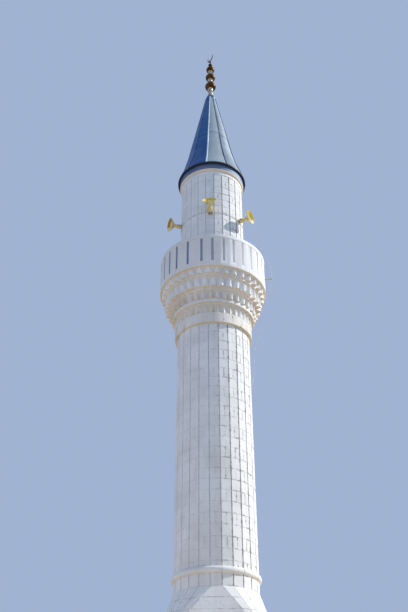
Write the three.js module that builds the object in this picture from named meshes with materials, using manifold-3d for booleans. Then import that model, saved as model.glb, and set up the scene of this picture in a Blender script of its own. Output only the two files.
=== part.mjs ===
// A round stone minaret of one balcony: square base, shoe, fluted shaft, corbelled balcony,
// upper shaft, lead spire and metal finial. Millimetres, +Z up, the origin at the centre of the
// foot. The front is -Y, and an azimuth is counted from the front towards +X.
import * as THREE from 'three';
import { mergeVertices } from 'three/addons/utils/BufferGeometryUtils.js';
import { ConvexGeometry } from 'three/addons/geometries/ConvexGeometry.js';
import Module from 'manifold-3d';

const wasm = await Module();
wasm.setup();

// Driving heights
const FLOOR_TOP = 200;
const FOOT_TOP = 450;
const BASE_WALL_TOP = 4700;
const BASE_TOP = 5000;
const SHOE_TOP = 6700;
const BEAD_LEVEL = 7075;
const COLLAR_BOTTOM = 14090;
const COLLAR_TOP = 14420;
const TIER_1_TOP = 14735;
const TIER_2_TOP = 14850;
const TIER_3_TOP = 15175;
const TIER_4_TOP = 15560;
const TIER_5_TOP = 15760;
const BALCONY_FLOOR_TOP = 15860;
const PARAPET_TOP = 16930;
const UPPER_WALL_TOP = 20180;
const UPPER_CORNICE_TOP = 20450;
const SPIRE_TIP = 25020;

// Driving half widths and radii
const BASE_HALF = 1500;
const BASE_WALL = 450;
const FOOT_OUT = 80;
const SHAFT_APOTHEM = 1065;
const SHAFT_WELL = 700;
const UPPER_APOTHEM = 1015;
const UPPER_WELL = 740;
const COLLAR_RADIUS = 1150;
const PARAPET_RADIUS = 1645;
const PARAPET_THICK = 125;
const UPPER_CORNICE_RADIUS = 1085;
const EAVE_RADIUS = 1158;

// The shaft has 24 flat faces, one of them to the front, with a V groove at each corner.
const FACES = 24;
const FACE_ANGLE = 360 / FACES;
const GROOVE_HALF = 11;
const GROOVE_DEPTH = 14;
// The upper shaft's faces are turned against those of the lower shaft.
const UPPER_TURN = -3.75;

// Clearances: a quarter stands this far out, so that neighbours keep a joint of 0.3 mm.
const QUARTER_SPREAD = 0.22;
const CLEAR = 0.6;

const QUARTERS = [
  { side: 'front', azimuth: 0 },
  { side: 'right', azimuth: 90 },
  { side: 'back', azimuth: 180 },
  { side: 'left', azimuth: -90 },
];

const limewash = new THREE.MeshStandardMaterial({ color: 0xe9ebee, roughness: 0.85 });
const plaster = new THREE.MeshStandardMaterial({ color: 0xe2e1dd, roughness: 0.9 });
const lead = new THREE.MeshStandardMaterial({ color: 0x5d6f8c, roughness: 0.5, metalness: 0.5 });
const darkEdge = new THREE.MeshStandardMaterial({ color: 0x14181f, roughness: 0.45, metalness: 0.3 });
const gilt = new THREE.MeshStandardMaterial({ color: 0x8a6a35, roughness: 0.4, metalness: 0.9 });
const cream = new THREE.MeshStandardMaterial({ color: 0xd8c88c, roughness: 0.45 });
const cableGrey = new THREE.MeshStandardMaterial({ color: 0xb9bdc0, roughness: 0.6 });
const timber = new THREE.MeshStandardMaterial({ color: 0xb08a55, roughness: 0.7 });

const minaret = new THREE.Group();

const radians = THREE.MathUtils.degToRad;

// A point in plan at a radius and an azimuth.
function polar(radius, azimuth) {
  return new THREE.Vector2(radius * Math.sin(radians(azimuth)), -radius * Math.cos(radians(azimuth)));
}

function range(from, to, step) {
  const count = Math.round((to - from) / step);
  return Array.from({ length: count + 1 }, (_, k) => from + k * step);
}

function addPiece(name, geometry, material, turn = 0) {
  const mesh = new THREE.Mesh(geometry, material);
  mesh.name = name;
  mesh.rotation.z = radians(turn);
  minaret.add(mesh);
  return mesh;
}

// Closed solids and their joins and cuts
function toSolid(geometry) {
  const plain = geometry.clone();
  plain.deleteAttribute('normal');
  plain.deleteAttribute('uv');
  const merged = mergeVertices(plain, 1e-4);
  return new wasm.Manifold(new wasm.Mesh({
    numProp: 3,
    vertProperties: new Float32Array(merged.attributes.position.array),
    triVerts: new Uint32Array(merged.index.array),
  }));
}

function toGeometry(solid) {
  const mesh = solid.getMesh();
  const geometry = new THREE.BufferGeometry();
  geometry.setAttribute('position', new THREE.BufferAttribute(mesh.vertProperties, 3));
  geometry.setIndex(new THREE.BufferAttribute(mesh.triVerts, 1));
  return geometry;
}

function join(...geometries) {
  const [first, ...others] = geometries.map(toSolid);
  return toGeometry(others.reduce((solid, other) => solid.add(other), first));
}

function cut(geometry, ...tools) {
  return toGeometry(tools.map(toSolid).reduce((solid, tool) => solid.subtract(tool), toSolid(geometry)));
}

// Basic shapes
function prism(outline, bottom, top, hole = null) {
  const shape = new THREE.Shape(outline);
  if (hole) shape.holes.push(new THREE.Path(hole));
  const geometry = new THREE.ExtrudeGeometry(shape, { depth: top - bottom, bevelEnabled: false });
  return geometry.translate(0, 0, bottom);
}

function box(x0, x1, y0, y1, z0, z1) {
  const geometry = new THREE.BoxGeometry(x1 - x0, y1 - y0, z1 - z0);
  return geometry.translate((x0 + x1) / 2, (y0 + y1) / 2, (z0 + z1) / 2);
}

function squareOutline(half) {
  return [[-1, -1], [1, -1], [1, 1], [-1, 1]].map(([x, y]) => new THREE.Vector2(x * half, y * half));
}

function circleOutline(radius, segments) {
  return range(0, 360 - 360 / segments, 360 / segments).map((azimuth) => polar(radius, azimuth));
}

// A regular outline whose faces, not its corners, lie at the azimuths 0, 360/sides and so on.
function facedOutline(apothem, sides) {
  const step = 360 / sides;
  const corner = apothem / Math.cos(radians(step / 2));
  return range(step / 2, 360 - step / 2, step).map((azimuth) => polar(corner, azimuth));
}

// The plan of one quarter wall of the shaft: 24-sided outside with its grooves, and the well of
// eight sides inside.
function shaftQuarterOutline(apothem, well) {
  const corner = apothem / Math.cos(radians(FACE_ANGLE / 2));
  const halfFace = apothem * Math.tan(radians(FACE_ANGLE / 2)) - GROOVE_HALF;
  const faceEdge = Math.hypot(apothem, halfFace);
  const faceEdgeAngle = THREE.MathUtils.radToDeg(Math.atan2(halfFace, apothem));
  const points = [polar(apothem, -45)];
  for (const azimuth of range(-37.5, 37.5, FACE_ANGLE)) {
    points.push(polar(faceEdge, azimuth - FACE_ANGLE / 2 + faceEdgeAngle));
    points.push(polar(corner - GROOVE_DEPTH, azimuth));
    points.push(polar(faceEdge, azimuth + FACE_ANGLE / 2 - faceEdgeAngle));
  }
  points.push(polar(apothem, 45));
  const wellCorner = well / Math.cos(radians(22.5));
  points.push(polar(well, 45), polar(wellCorner, 22.5), polar(wellCorner, -22.5), polar(well, -45));
  return points;
}

// A quarter is drawn at the front and turned to its own side, a hair away from its neighbours.
function addQuarter(name, geometry, material, azimuth, turn = 0) {
  return addPiece(name, geometry.clone().translate(0, -QUARTER_SPREAD, 0), material, azimuth + turn);
}

// Base: a hollow square room with a doorway at the back, and a cornice of two courses
const DOOR_HALF = 400;
const DOOR_TOP = 2250;
const CORNICE_MIDDLE = BASE_WALL_TOP + 120;
const CORNICE_OUT = 30;

function footedWall(x0, x1, y0, y1, footX0, footX1, footY0, footY1) {
  return join(
    box(x0, x1, y0, y1, 0, BASE_WALL_TOP),
    box(footX0, footX1, footY0, footY1, 0, FOOT_TOP),
  );
}

function addBase() {
  const inside = BASE_HALF - BASE_WALL;
  const foot = BASE_HALF + FOOT_OUT;
  const half = BASE_HALF;
  addPiece('floor_slab', box(-inside, inside, -inside, half, 0, FLOOR_TOP), plaster);
  const front = footedWall(-half, half, -half, -inside, -foot, foot, -foot, -inside);
  addPiece('base_front_wall', front, limewash);
  const right = footedWall(inside, half, -inside, inside, inside, foot, -inside, inside);
  addPiece('base_right_wall', right, limewash);
  const left = footedWall(-half, -inside, -inside, inside, -foot, -inside, -inside, inside);
  addPiece('base_left_wall', left, limewash);
  const notch = box(-inside, inside, inside - 1, half, -1, FLOOR_TOP);
  const backRight = footedWall(DOOR_HALF, half, inside, half, DOOR_HALF, foot, inside, foot);
  addPiece('base_back_right_wall', cut(backRight, notch), limewash);
  const backLeft = footedWall(-half, -DOOR_HALF, inside, half, -foot, -DOOR_HALF, inside, foot);
  addPiece('base_back_left_wall', cut(backLeft, notch), limewash);
  const overDoor = box(-DOOR_HALF, DOOR_HALF, inside, half, DOOR_TOP, BASE_WALL_TOP);
  addPiece('base_over_door', overDoor, limewash);
  const cornice = join(
    prism(squareOutline(half + CORNICE_OUT), BASE_WALL_TOP, CORNICE_MIDDLE, facedOutline(SHAFT_WELL, 8)),
    prism(squareOutline(foot), CORNICE_MIDDLE, BASE_TOP, facedOutline(SHAFT_WELL, 8)),
  );
  addPiece('base_cornice', cornice, limewash);
}

// Shoe: flat triangles lead from the square base to the 24 faces of the shaft
function addShoe() {
  const corner = SHAFT_APOTHEM / Math.cos(radians(FACE_ANGLE / 2));
  const rim = [
    polar(SHAFT_APOTHEM, -45),
    ...range(-37.5, 37.5, FACE_ANGLE).map((azimuth) => polar(corner, azimuth)),
    polar(SHAFT_APOTHEM, 45),
    polar(0, 0),
  ];
  const foot = [polar(BASE_HALF * Math.SQRT2, -45), polar(BASE_HALF * Math.SQRT2, 45), polar(0, 0)];
  const points = [
    ...rim.map((point) => new THREE.Vector3(point.x, point.y, SHOE_TOP)),
    ...foot.map((point) => new THREE.Vector3(point.x, point.y, BASE_TOP)),
  ];
  const well = prism(facedOutline(SHAFT_WELL, 8), BASE_TOP - 1, SHOE_TOP + 1);
  const quarter = cut(new ConvexGeometry(points), well);
  for (const { side, azimuth } of QUARTERS) addQuarter(`shoe_${side}`, quarter, limewash, azimuth);
}

// Shaft: four quarters of wall, a bead near the foot and a collar under the corbels
function addShaft() {
  const quarter = prism(shaftQuarterOutline(SHAFT_APOTHEM, SHAFT_WELL), SHOE_TOP, TIER_5_TOP);
  for (const { side, azimuth } of QUARTERS) {
    addQuarter(`shaft_${side}`, quarter, limewash, azimuth);
  }
}

const RING_SEGMENTS = 48;
const BEAD_HALF_HEIGHT = 80;
const BEAD_BULGE = 63;
const BEAD_OUT = 10;
const BEAD_INSIDE = SHAFT_APOTHEM - 60;

function shaftHole() {
  return facedOutline(SHAFT_APOTHEM + CLEAR, FACES);
}

function addLowerRing() {
  const profile = [new THREE.Vector2(BEAD_INSIDE, BEAD_LEVEL - BEAD_HALF_HEIGHT)];
  for (const angle of range(-90, 90, 30)) {
    const out = SHAFT_APOTHEM + BEAD_OUT + BEAD_BULGE * Math.cos(radians(angle));
    profile.push(new THREE.Vector2(out, BEAD_LEVEL + BEAD_HALF_HEIGHT * Math.sin(radians(angle))));
  }
  profile.push(new THREE.Vector2(BEAD_INSIDE, BEAD_LEVEL + BEAD_HALF_HEIGHT));
  profile.push(profile[0].clone());
  const bead = new THREE.LatheGeometry(profile, RING_SEGMENTS).rotateX(Math.PI / 2);
  const core = prism(shaftHole(), BEAD_LEVEL - 2 * BEAD_HALF_HEIGHT, BEAD_LEVEL + 2 * BEAD_HALF_HEIGHT);
  addPiece('lower_ring', cut(bead, core), limewash);
}

function addCollar() {
  const ring = prism(circleOutline(COLLAR_RADIUS, RING_SEGMENTS), COLLAR_BOTTOM, COLLAR_TOP, shaftHole());
  addPiece('collar_ring', ring, limewash);
}

// Corbels: rings of V niches between narrow ribs, each ring closed above by a plain plate. The
// ceiling of a niche slopes down to its inner edge.
const NICHES = 36;
const RIB_HALF = 32;

const NICHE_ANGLE = 360 / NICHES;

function nicheOutline({ rib, apex, shift }) {
  const ribAngle = THREE.MathUtils.radToDeg(RIB_HALF / rib);
  const points = [];
  for (let k = 0; k < NICHES; k += 1) {
    const azimuth = (k + shift) * NICHE_ANGLE;
    points.push(polar(rib, azimuth - ribAngle), polar(rib, azimuth + ribAngle));
    points.push(polar(apex, azimuth + NICHE_ANGLE / 2));
  }
  return points;
}

const PLATE_OUT = 12;
const PLATE_SEGMENTS = 72;
const BAND_RADIUS = 1240;

// Each tier is turned by a share of its niche, its shift. A tier with a plate of no thickness is
// closed above by the parapet instead.
const TIERS = [
  { number: 1, bottom: COLLAR_TOP, top: TIER_1_TOP, rib: 1160, apex: 1090, plate: 50, drop: 50, shift: 0.5 },
  { number: 3, bottom: TIER_2_TOP, top: TIER_3_TOP, rib: 1305, apex: 1185, plate: 60, drop: 90, shift: 0.5 },
  { number: 4, bottom: TIER_3_TOP, top: TIER_4_TOP, rib: 1475, apex: 1340, plate: 50, drop: 110, shift: 0 },
  { number: 5, bottom: TIER_4_TOP, top: TIER_5_TOP, rib: 1585, apex: 1470, plate: 0, drop: 75, shift: 0.5 },
];
const CEILING_BEDDED = 10;

// The sloping ceilings of a ring, each a wedge from the rib corners down to the inner edge. They
// run on a little behind that edge and, below a plate, a little above the rib corners.
function nicheCeilings({ top, rib, apex, plate, drop, shift }) {
  const half = NICHE_ANGLE / 2 - THREE.MathUtils.radToDeg(RIB_HALF / rib);
  const ceiling = top - plate;
  const chord = rib * Math.cos(radians(half));
  const back = apex - CEILING_BEDDED;
  const low = ceiling - (drop * (chord - back)) / (chord - apex);
  const high = plate === 0 ? ceiling : ceiling + CEILING_BEDDED;
  return range(0, NICHES - 1, 1).map((k) => {
    const middle = (k + shift + 0.5) * NICHE_ANGLE;
    const inner = polar(back, middle);
    const corners = [polar(rib, middle - half), polar(rib, middle + half)];
    return new ConvexGeometry([
      ...corners.flatMap(({ x, y }) => [new THREE.Vector3(x, y, ceiling), new THREE.Vector3(x, y, high)]),
      new THREE.Vector3(inner.x, inner.y, low),
      new THREE.Vector3(inner.x, inner.y, high),
    ]);
  });
}

function nicheTier(tier) {
  const { bottom, top, rib, plate } = tier;
  const niches = prism(nicheOutline(tier), bottom, top - plate, shaftHole());
  if (plate === 0) return join(niches, ...nicheCeilings(tier));
  const cap = prism(circleOutline(rib + PLATE_OUT, PLATE_SEGMENTS), top - plate, top, shaftHole());
  return join(niches, cap, ...nicheCeilings(tier));
}

function addCorbels() {
  for (const tier of TIERS) addPiece(`corbel_tier_${tier.number}`, nicheTier(tier), limewash);
  const band = prism(circleOutline(BAND_RADIUS, PLATE_SEGMENTS), TIER_1_TOP, TIER_2_TOP, shaftHole());
  addPiece('corbel_tier_2', band, limewash);
}

// Balcony: its floor, and a parapet of four quarters with blind upright slots
const SLOT_WIDTH = 72;
const SLOT_DEPTH = 90;
const SLOT_BOTTOM = 15935;
const SLOT_TOP = 16795;
// The slots of the front are not evenly spaced; the others are.
const FRONT_SLOTS = [-64.5, -53, -41.5, -27, -11.5, 0, 12, 23, 34, 45.5, 57, 68];
const OTHER_SLOTS = 19;
const OTHER_STEP = (FRONT_SLOTS[0] + 360 - FRONT_SLOTS[FRONT_SLOTS.length - 1]) / (OTHER_SLOTS + 1);
const COPING_THICK = 125;
const COPING_OUT = 8;
// The quarters are turned so that no slot falls on a joint.
const PARAPET_TURN = -3;
const ARC_STEP = 5;

function slotAzimuths() {
  const last = FRONT_SLOTS[FRONT_SLOTS.length - 1];
  return [...FRONT_SLOTS, ...range(1, OTHER_SLOTS, 1).map((k) => last + k * OTHER_STEP)];
}

// The difference of two azimuths, from -180 to 180
function turnBetween(azimuth, other) {
  return THREE.MathUtils.euclideanModulo(azimuth - other + 180, 360) - 180;
}

function arcOutline(outer, inner) {
  const azimuths = range(-45, 45, ARC_STEP);
  const out = azimuths.map((azimuth) => polar(outer, azimuth));
  const back = azimuths.map((azimuth) => polar(inner, azimuth)).reverse();
  return [...out, ...back];
}

function addBalcony() {
  const inner = PARAPET_RADIUS - PARAPET_THICK;
  const floorOutline = circleOutline(inner - 2 * COPING_OUT - CLEAR, PLATE_SEGMENTS);
  const floor = prism(floorOutline, TIER_5_TOP, BALCONY_FLOOR_TOP, facedOutline(SHAFT_WELL, 8));
  addPiece('balcony_floor', floor, plaster);
  const wall = prism(arcOutline(PARAPET_RADIUS, inner), TIER_5_TOP, PARAPET_TOP - COPING_THICK);
  const coping = prism(
    arcOutline(PARAPET_RADIUS + COPING_OUT, inner - COPING_OUT),
    PARAPET_TOP - COPING_THICK,
    PARAPET_TOP,
  );
  const plain = join(wall, coping);
  const half = SLOT_WIDTH / 2;
  const back = -PARAPET_RADIUS + SLOT_DEPTH;
  const slot = box(-half, half, -PARAPET_RADIUS - half, back, SLOT_BOTTOM, SLOT_TOP);
  for (const { side, azimuth } of QUARTERS) {
    const slots = slotAzimuths()
      .map((each) => turnBetween(each, azimuth + PARAPET_TURN))
      .filter((each) => Math.abs(each) < 45)
      .map((each) => slot.clone().rotateZ(radians(each)));
    addQuarter(`parapet_${side}`, cut(plain, ...slots), limewash, azimuth, PARAPET_TURN);
  }
}

// Upper shaft, with the doorway onto the balcony at the back
const UPPER_DOOR_HALF = 320;
const UPPER_DOOR_TOP = 17560;

function addUpperShaft() {
  const outline = shaftQuarterOutline(UPPER_APOTHEM, UPPER_WELL);
  const quarter = prism(outline, BALCONY_FLOOR_TOP, UPPER_WALL_TOP);
  for (const { side, azimuth } of QUARTERS.filter((each) => each.side !== 'back')) {
    addQuarter(`upper_wall_${side}`, quarter, limewash, azimuth, UPPER_TURN);
  }
  // The back quarter is drawn at the front too, so its side at +X comes to lie at -X, on the left.
  const reach = UPPER_APOTHEM + 100;
  const below = prism(outline, BALCONY_FLOOR_TOP, UPPER_DOOR_TOP);
  const sideAtPlusX = cut(below, box(-reach, UPPER_DOOR_HALF, -reach, 0, 0, UPPER_WALL_TOP));
  const sideAtMinusX = cut(below, box(-UPPER_DOOR_HALF, reach, -reach, 0, 0, UPPER_WALL_TOP));
  addQuarter('upper_wall_back_left', sideAtPlusX, limewash, 180, UPPER_TURN);
  addQuarter('upper_wall_back_right', sideAtMinusX, limewash, 180, UPPER_TURN);
  const overDoor = prism(outline, UPPER_DOOR_TOP, UPPER_WALL_TOP);
  addQuarter('upper_wall_over_door', overDoor, limewash, 180, UPPER_TURN);
  const cornice = prism(
    circleOutline(UPPER_CORNICE_RADIUS, RING_SEGMENTS),
    UPPER_WALL_TOP,
    UPPER_CORNICE_TOP,
    facedOutline(UPPER_WELL, 8),
  );
  addPiece('upper_cornice', cornice, limewash);
}

// Spire: a hollow lead-covered cone with a slight flare at its foot, and a dark metal edge
const EAVE_BOTTOM = 20425;
const EAVE_TOP = 20515;
const SPIRE_FOOT = 1130;
const SPIRE_SEGMENTS = 32;

function addSpire() {
  const outer = [
    [SPIRE_FOOT, UPPER_CORNICE_TOP],
    [SPIRE_FOOT, EAVE_TOP],
    [1090, 20640],
    [1030, 20800],
    [925, 21120],
    [790, 21670],
    [160, SPIRE_TIP - 70],
    [130, SPIRE_TIP],
    [0, SPIRE_TIP],
  ];
  const inner = [[0, 24300], [940, UPPER_CORNICE_TOP]];
  const profile = [...inner, ...outer].map(([radius, height]) => new THREE.Vector2(radius, height));
  addPiece('spire_roof', new THREE.LatheGeometry(profile, SPIRE_SEGMENTS).rotateX(Math.PI / 2), lead);
  const edge = prism(
    circleOutline(EAVE_RADIUS, SPIRE_SEGMENTS),
    EAVE_BOTTOM,
    EAVE_TOP,
    circleOutline(SPIRE_FOOT + CLEAR, SPIRE_SEGMENTS),
  );
  addPiece('eave_edge', edge, darkEdge);
}

// Finial: turned bulbs on a stem, and a thin crescent on top
const FINIAL_TOP = 27120;
const FINIAL_SEGMENTS = 20;
const BULBS = [
  { level: 25612, radius: 205, halfHeight: 175, neck: 90 },
  { level: 26130, radius: 183, halfHeight: 170, neck: 72 },
  { level: 26590, radius: 157, halfHeight: 150, neck: 40 },
  { level: 26880, radius: 76, halfHeight: 70, neck: 32 },
];

function bulbProfile({ level, radius, halfHeight, neck }) {
  const reach = Math.PI / 2 - Math.asin(neck / radius);
  return range(-1, 1, 0.4).map((share) => new THREE.Vector2(
    radius * Math.cos(share * reach),
    level + halfHeight * Math.sin(share * reach),
  ));
}

function addFinial() {
  const profile = [
    new THREE.Vector2(0, SPIRE_TIP),
    new THREE.Vector2(120, SPIRE_TIP),
    new THREE.Vector2(95, SPIRE_TIP + 120),
    ...BULBS.flatMap(bulbProfile),
    new THREE.Vector2(24, FINIAL_TOP),
    new THREE.Vector2(0, FINIAL_TOP),
  ];
  const turned = new THREE.LatheGeometry(profile, FINIAL_SEGMENTS).rotateX(Math.PI / 2);
  addPiece('finial', turned, gilt);
}

// The crescent is a disc with a smaller disc bitten out above its centre, its tips apart.
const CRESCENT_LEVEL = 27295;
const CRESCENT_RADIUS = 175;
const CRESCENT_THICK = 24;
const CRESCENT_TURN = -55;
const BITE_RADIUS = 142;
const BITE_OFFSET = 42;
const TIP_FROM_TOP = 40;

function addCrescent() {
  const rim = range(TIP_FROM_TOP - 270, 90 - TIP_FROM_TOP, 12.5).map((angle) => new THREE.Vector2(
    CRESCENT_RADIUS * Math.cos(radians(angle)),
    CRESCENT_RADIUS * Math.sin(radians(angle)),
  ));
  const from = Math.atan2(rim[rim.length - 1].y - BITE_OFFSET, rim[rim.length - 1].x);
  const to = Math.atan2(rim[0].y - BITE_OFFSET, rim[0].x) - 2 * Math.PI;
  const steps = 16;
  const bite = range(1, steps - 1, 1).map((k) => {
    const angle = THREE.MathUtils.lerp(from, to, k / steps);
    return new THREE.Vector2(BITE_RADIUS * Math.cos(angle), BITE_OFFSET + BITE_RADIUS * Math.sin(angle));
  });
  const outline = new THREE.Shape([...rim, ...bite]);
  const crescent = new THREE.ExtrudeGeometry(outline, { depth: CRESCENT_THICK, bevelEnabled: false });
  crescent.translate(0, 0, -CRESCENT_THICK / 2).rotateX(Math.PI / 2).rotateZ(radians(CRESCENT_TURN));
  addPiece('crescent', crescent.translate(0, 0, CRESCENT_LEVEL), gilt);
}

// Loudspeakers: four horns on brackets round the upper shaft. Each is bolted to the face at one
// azimuth; at, out and level place the back of its driver, aim is the azimuth it points along,
// tilt lifts its mouth, and cable is the height at which the cable passes its bracket.
const HORNS = [
  { side: 'front', face: -3.75, at: -3, out: 1086, level: 18333, aim: -3, tilt: 33, cable: 18380 },
  { side: 'right', face: 56.25, at: 59.5, out: 1064, level: 18375, aim: 59.5, tilt: 0, cable: 18328 },
  { side: 'back', face: 176.25, at: 176.25, out: 1061, level: 18366, aim: 176.25, tilt: 5, cable: 18320 },
  { side: 'left', face: -78.75, at: -77, out: 1060, level: 18420, aim: -67, tilt: -4, cable: 18368 },
];
const HORN_SEGMENTS = 20;
const HORN_LENGTH = 385;
const PLATE_THICK = 12;
const PLATE_HALF = 60;
const PLATE_SHIFT = 30;
const ARM_HALF = 25;
const WALL_GAP = 0.5;
// Radius and distance from the mouth: driver, throat, flare, rim, and back along the inside
const HORN_PROFILE = [
  [0, -HORN_LENGTH], [72, -HORN_LENGTH], [72, -245], [48, -225], [68, -165], [118, -108],
  [180, -55], [228, -8], [223, 0], [172, -42], [110, -96], [58, -155], [0, -190],
];

// A horn lies in the frame of its face, which is drawn at the front. Its wall plate is shifted
// away from the cable that passes its arm.
function hornGeometry({ face, at, out, level, aim, tilt, cable }) {
  const points = HORN_PROFILE.map(([radius, along]) => new THREE.Vector2(radius, along + HORN_LENGTH));
  const horn = new THREE.LatheGeometry(points, HORN_SEGMENTS).rotateX(Math.PI - radians(tilt));
  horn.rotateZ(radians(aim - at)).translate(0, -out, level).rotateZ(radians(at - face));
  const aside = out * Math.sin(radians(at - face));
  const wall = -UPPER_APOTHEM - WALL_GAP;
  const middle = level + PLATE_SHIFT * Math.sign(level - cable);
  const plate = box(
    aside - PLATE_HALF,
    aside + PLATE_HALF,
    wall - PLATE_THICK,
    wall,
    middle - PLATE_HALF,
    middle + PLATE_HALF,
  );
  const arm = box(
    aside - ARM_HALF,
    aside + ARM_HALF,
    -out - ARM_HALF,
    wall - PLATE_THICK / 2,
    level - ARM_HALF,
    level + ARM_HALF,
  );
  return join(horn, plate, arm);
}

function addHorns() {
  for (const horn of HORNS) addPiece(`loudspeaker_${horn.side}`, hornGeometry(horn), cream, horn.face);
}

// Cables: the run that links the loudspeakers, and the down lead on the right with its holders
function tube(points, diameter, steps) {
  const curve = new THREE.CatmullRomCurve3(points, false, 'centripetal');
  const section = new THREE.Shape(circleOutline(diameter / 2, 8));
  return new THREE.ExtrudeGeometry(section, { steps, bevelEnabled: false, extrudePath: curve });
}

const SPEAKER_CABLE = 14;
const CABLE_STAND = 17.5;
const CABLE_SAG = 18;
const CABLE_STEP = 10;
const LEAD_DIAMETER = 12;

// The cable starts beside the back horn, passes the left, front and right ones and comes back to
// it, sagging a little between each two.
const CABLE_STOPS = [
  { azimuth: -178.75, cable: HORNS[2].cable },
  { azimuth: HORNS[3].at, cable: HORNS[3].cable },
  { azimuth: HORNS[0].at, cable: HORNS[0].cable },
  { azimuth: HORNS[1].at, cable: HORNS[1].cable },
  { azimuth: 171.25, cable: HORNS[2].cable },
];

function cableHeight(azimuth) {
  const next = Math.max(1, CABLE_STOPS.findIndex((stop) => stop.azimuth >= azimuth - 1e-6));
  const [a, b] = [CABLE_STOPS[next - 1], CABLE_STOPS[next]];
  const share = (azimuth - a.azimuth) / (b.azimuth - a.azimuth);
  return THREE.MathUtils.lerp(a.cable, b.cable, share) - CABLE_SAG * Math.sin(Math.PI * share);
}

// The down lead leaves a clip on the upper shaft, runs over the stand-off's tip and ends at a clip
// on the lower shaft. Its route is given as distance out from the axis and height.
const LEAD_TOP_AZIMUTH = 86.25;
// The stand-off is seated on the middle of a flat of the parapet.
const LEAD_TIP_AZIMUTH = 90 + PARAPET_TURN - ARC_STEP / 2;
const LEAD_FOOT_AZIMUTH = 90;
const STICK_REACH = 1852;
const LEAD_TO_TIP = [
  [1040, 19390], [1110, 19060], [1200, 18680], [1320, 18300], [1460, 17920], [1600, 17560],
  [1715, 17240], [1795, 16940], [1848, 16620], [1862, 16290],
];
const LEAD_FROM_TIP = [
  [1822, 16050], [1745, 15790], [1655, 15520], [1568, 15260], [1486, 15010], [1410, 14730],
  [1338, 14360], [1272, 13970], [1218, 13580], [1176, 13190], [1142, 12840], [1108, 12600],
  [1080, 12440],
];

function leadPoint(out, height, azimuth) {
  const point = polar(out, azimuth);
  return new THREE.Vector3(point.x, point.y, height);
}

function leadRoute() {
  const toTip = LEAD_TO_TIP.map(([out, height], k) => {
    const share = k / (LEAD_TO_TIP.length - 1);
    return leadPoint(out, height, THREE.MathUtils.lerp(LEAD_TOP_AZIMUTH, LEAD_TIP_AZIMUTH, share));
  });
  const fromTip = LEAD_FROM_TIP.map(([out, height], k) => {
    const share = (k + 1) / LEAD_FROM_TIP.length;
    return leadPoint(out, height, THREE.MathUtils.lerp(LEAD_TIP_AZIMUTH, LEAD_FOOT_AZIMUTH, share));
  });
  return [...toTip, ...fromTip];
}

function addCables() {
  const ring = range(CABLE_STOPS[0].azimuth, CABLE_STOPS[4].azimuth, CABLE_STEP).map((azimuth) => {
    const point = polar(UPPER_APOTHEM + CABLE_STAND, azimuth);
    return new THREE.Vector3(point.x, point.y, cableHeight(azimuth));
  });
  addPiece('speaker_cable', tube(ring, SPEAKER_CABLE, 48), cableGrey);
  addPiece('down_lead', tube(leadRoute(), LEAD_DIAMETER, 52), cableGrey);
}

const STICK_HALF = 18;
const CLIP_HALF = 22;
const CLIP_HEIGHT = 53;
const CLIP_GAP = 7;
const LOWER_CLIP_OUT = 30;
const UPPER_CLIP_OUT = 42;

// A clip at the front, with one end of it at the given height and the other above or below
function clip(apothem, out, end, up) {
  const [low, high] = up ? [end, end + CLIP_HEIGHT] : [end - CLIP_HEIGHT, end];
  return box(-CLIP_HALF, CLIP_HALF, -apothem - out, -apothem - WALL_GAP, low, high);
}

function addHolders() {
  const flat = PARAPET_RADIUS * Math.cos(radians(ARC_STEP / 2));
  const stickLevel = LEAD_TO_TIP[LEAD_TO_TIP.length - 1][1];
  const stick = box(
    -STICK_HALF,
    STICK_HALF,
    -STICK_REACH,
    -flat - WALL_GAP,
    stickLevel - STICK_HALF,
    stickLevel + STICK_HALF,
  );
  addPiece('lead_stand_off', stick, timber, LEAD_TIP_AZIMUTH);
  const leadEnd = LEAD_FROM_TIP[LEAD_FROM_TIP.length - 1][1];
  const footClip = clip(SHAFT_APOTHEM, LOWER_CLIP_OUT, leadEnd - CLIP_GAP, false);
  addPiece('lead_clip_lower', footClip, cableGrey, LEAD_FOOT_AZIMUTH);
  const topClip = clip(UPPER_APOTHEM, UPPER_CLIP_OUT, LEAD_TO_TIP[0][1] + CLIP_GAP, true);
  addPiece('lead_clip_upper', topClip, cableGrey, LEAD_TOP_AZIMUTH);
}

addBase();
addShoe();
addShaft();
addLowerRing();
addCollar();
addCorbels();
addBalcony();
addUpperShaft();
addSpire();
addFinial();
addCrescent();
addHorns();
addCables();
addHolders();

export default minaret;
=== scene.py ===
# A round white minaret of one balcony: its stones, lead, metal and cables on the fixed frame.
# Metres, +Z up. The front is -Y, and an azimuth is counted in degrees from the front towards +X.
import math
import random

import bmesh
import bpy
from mathutils import Matrix, Vector, noise


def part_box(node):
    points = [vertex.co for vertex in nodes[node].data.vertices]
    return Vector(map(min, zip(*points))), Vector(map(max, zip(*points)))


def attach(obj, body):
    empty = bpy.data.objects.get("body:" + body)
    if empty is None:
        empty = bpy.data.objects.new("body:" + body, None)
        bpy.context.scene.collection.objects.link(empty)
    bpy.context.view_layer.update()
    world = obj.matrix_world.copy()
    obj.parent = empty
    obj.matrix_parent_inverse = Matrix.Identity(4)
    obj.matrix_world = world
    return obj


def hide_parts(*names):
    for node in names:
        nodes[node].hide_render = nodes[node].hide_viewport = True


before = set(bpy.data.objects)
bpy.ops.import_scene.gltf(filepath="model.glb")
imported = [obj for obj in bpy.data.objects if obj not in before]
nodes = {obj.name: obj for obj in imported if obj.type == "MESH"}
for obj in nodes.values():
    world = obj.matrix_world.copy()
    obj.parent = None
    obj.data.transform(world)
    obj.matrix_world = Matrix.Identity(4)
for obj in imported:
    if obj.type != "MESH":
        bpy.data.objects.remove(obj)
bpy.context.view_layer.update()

scene = bpy.context.scene
UP = Vector((0, 0, 1))


# Places, from the frame where it gives them
def heights(node):
    low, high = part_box(node)
    return low.z, high.z


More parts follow.
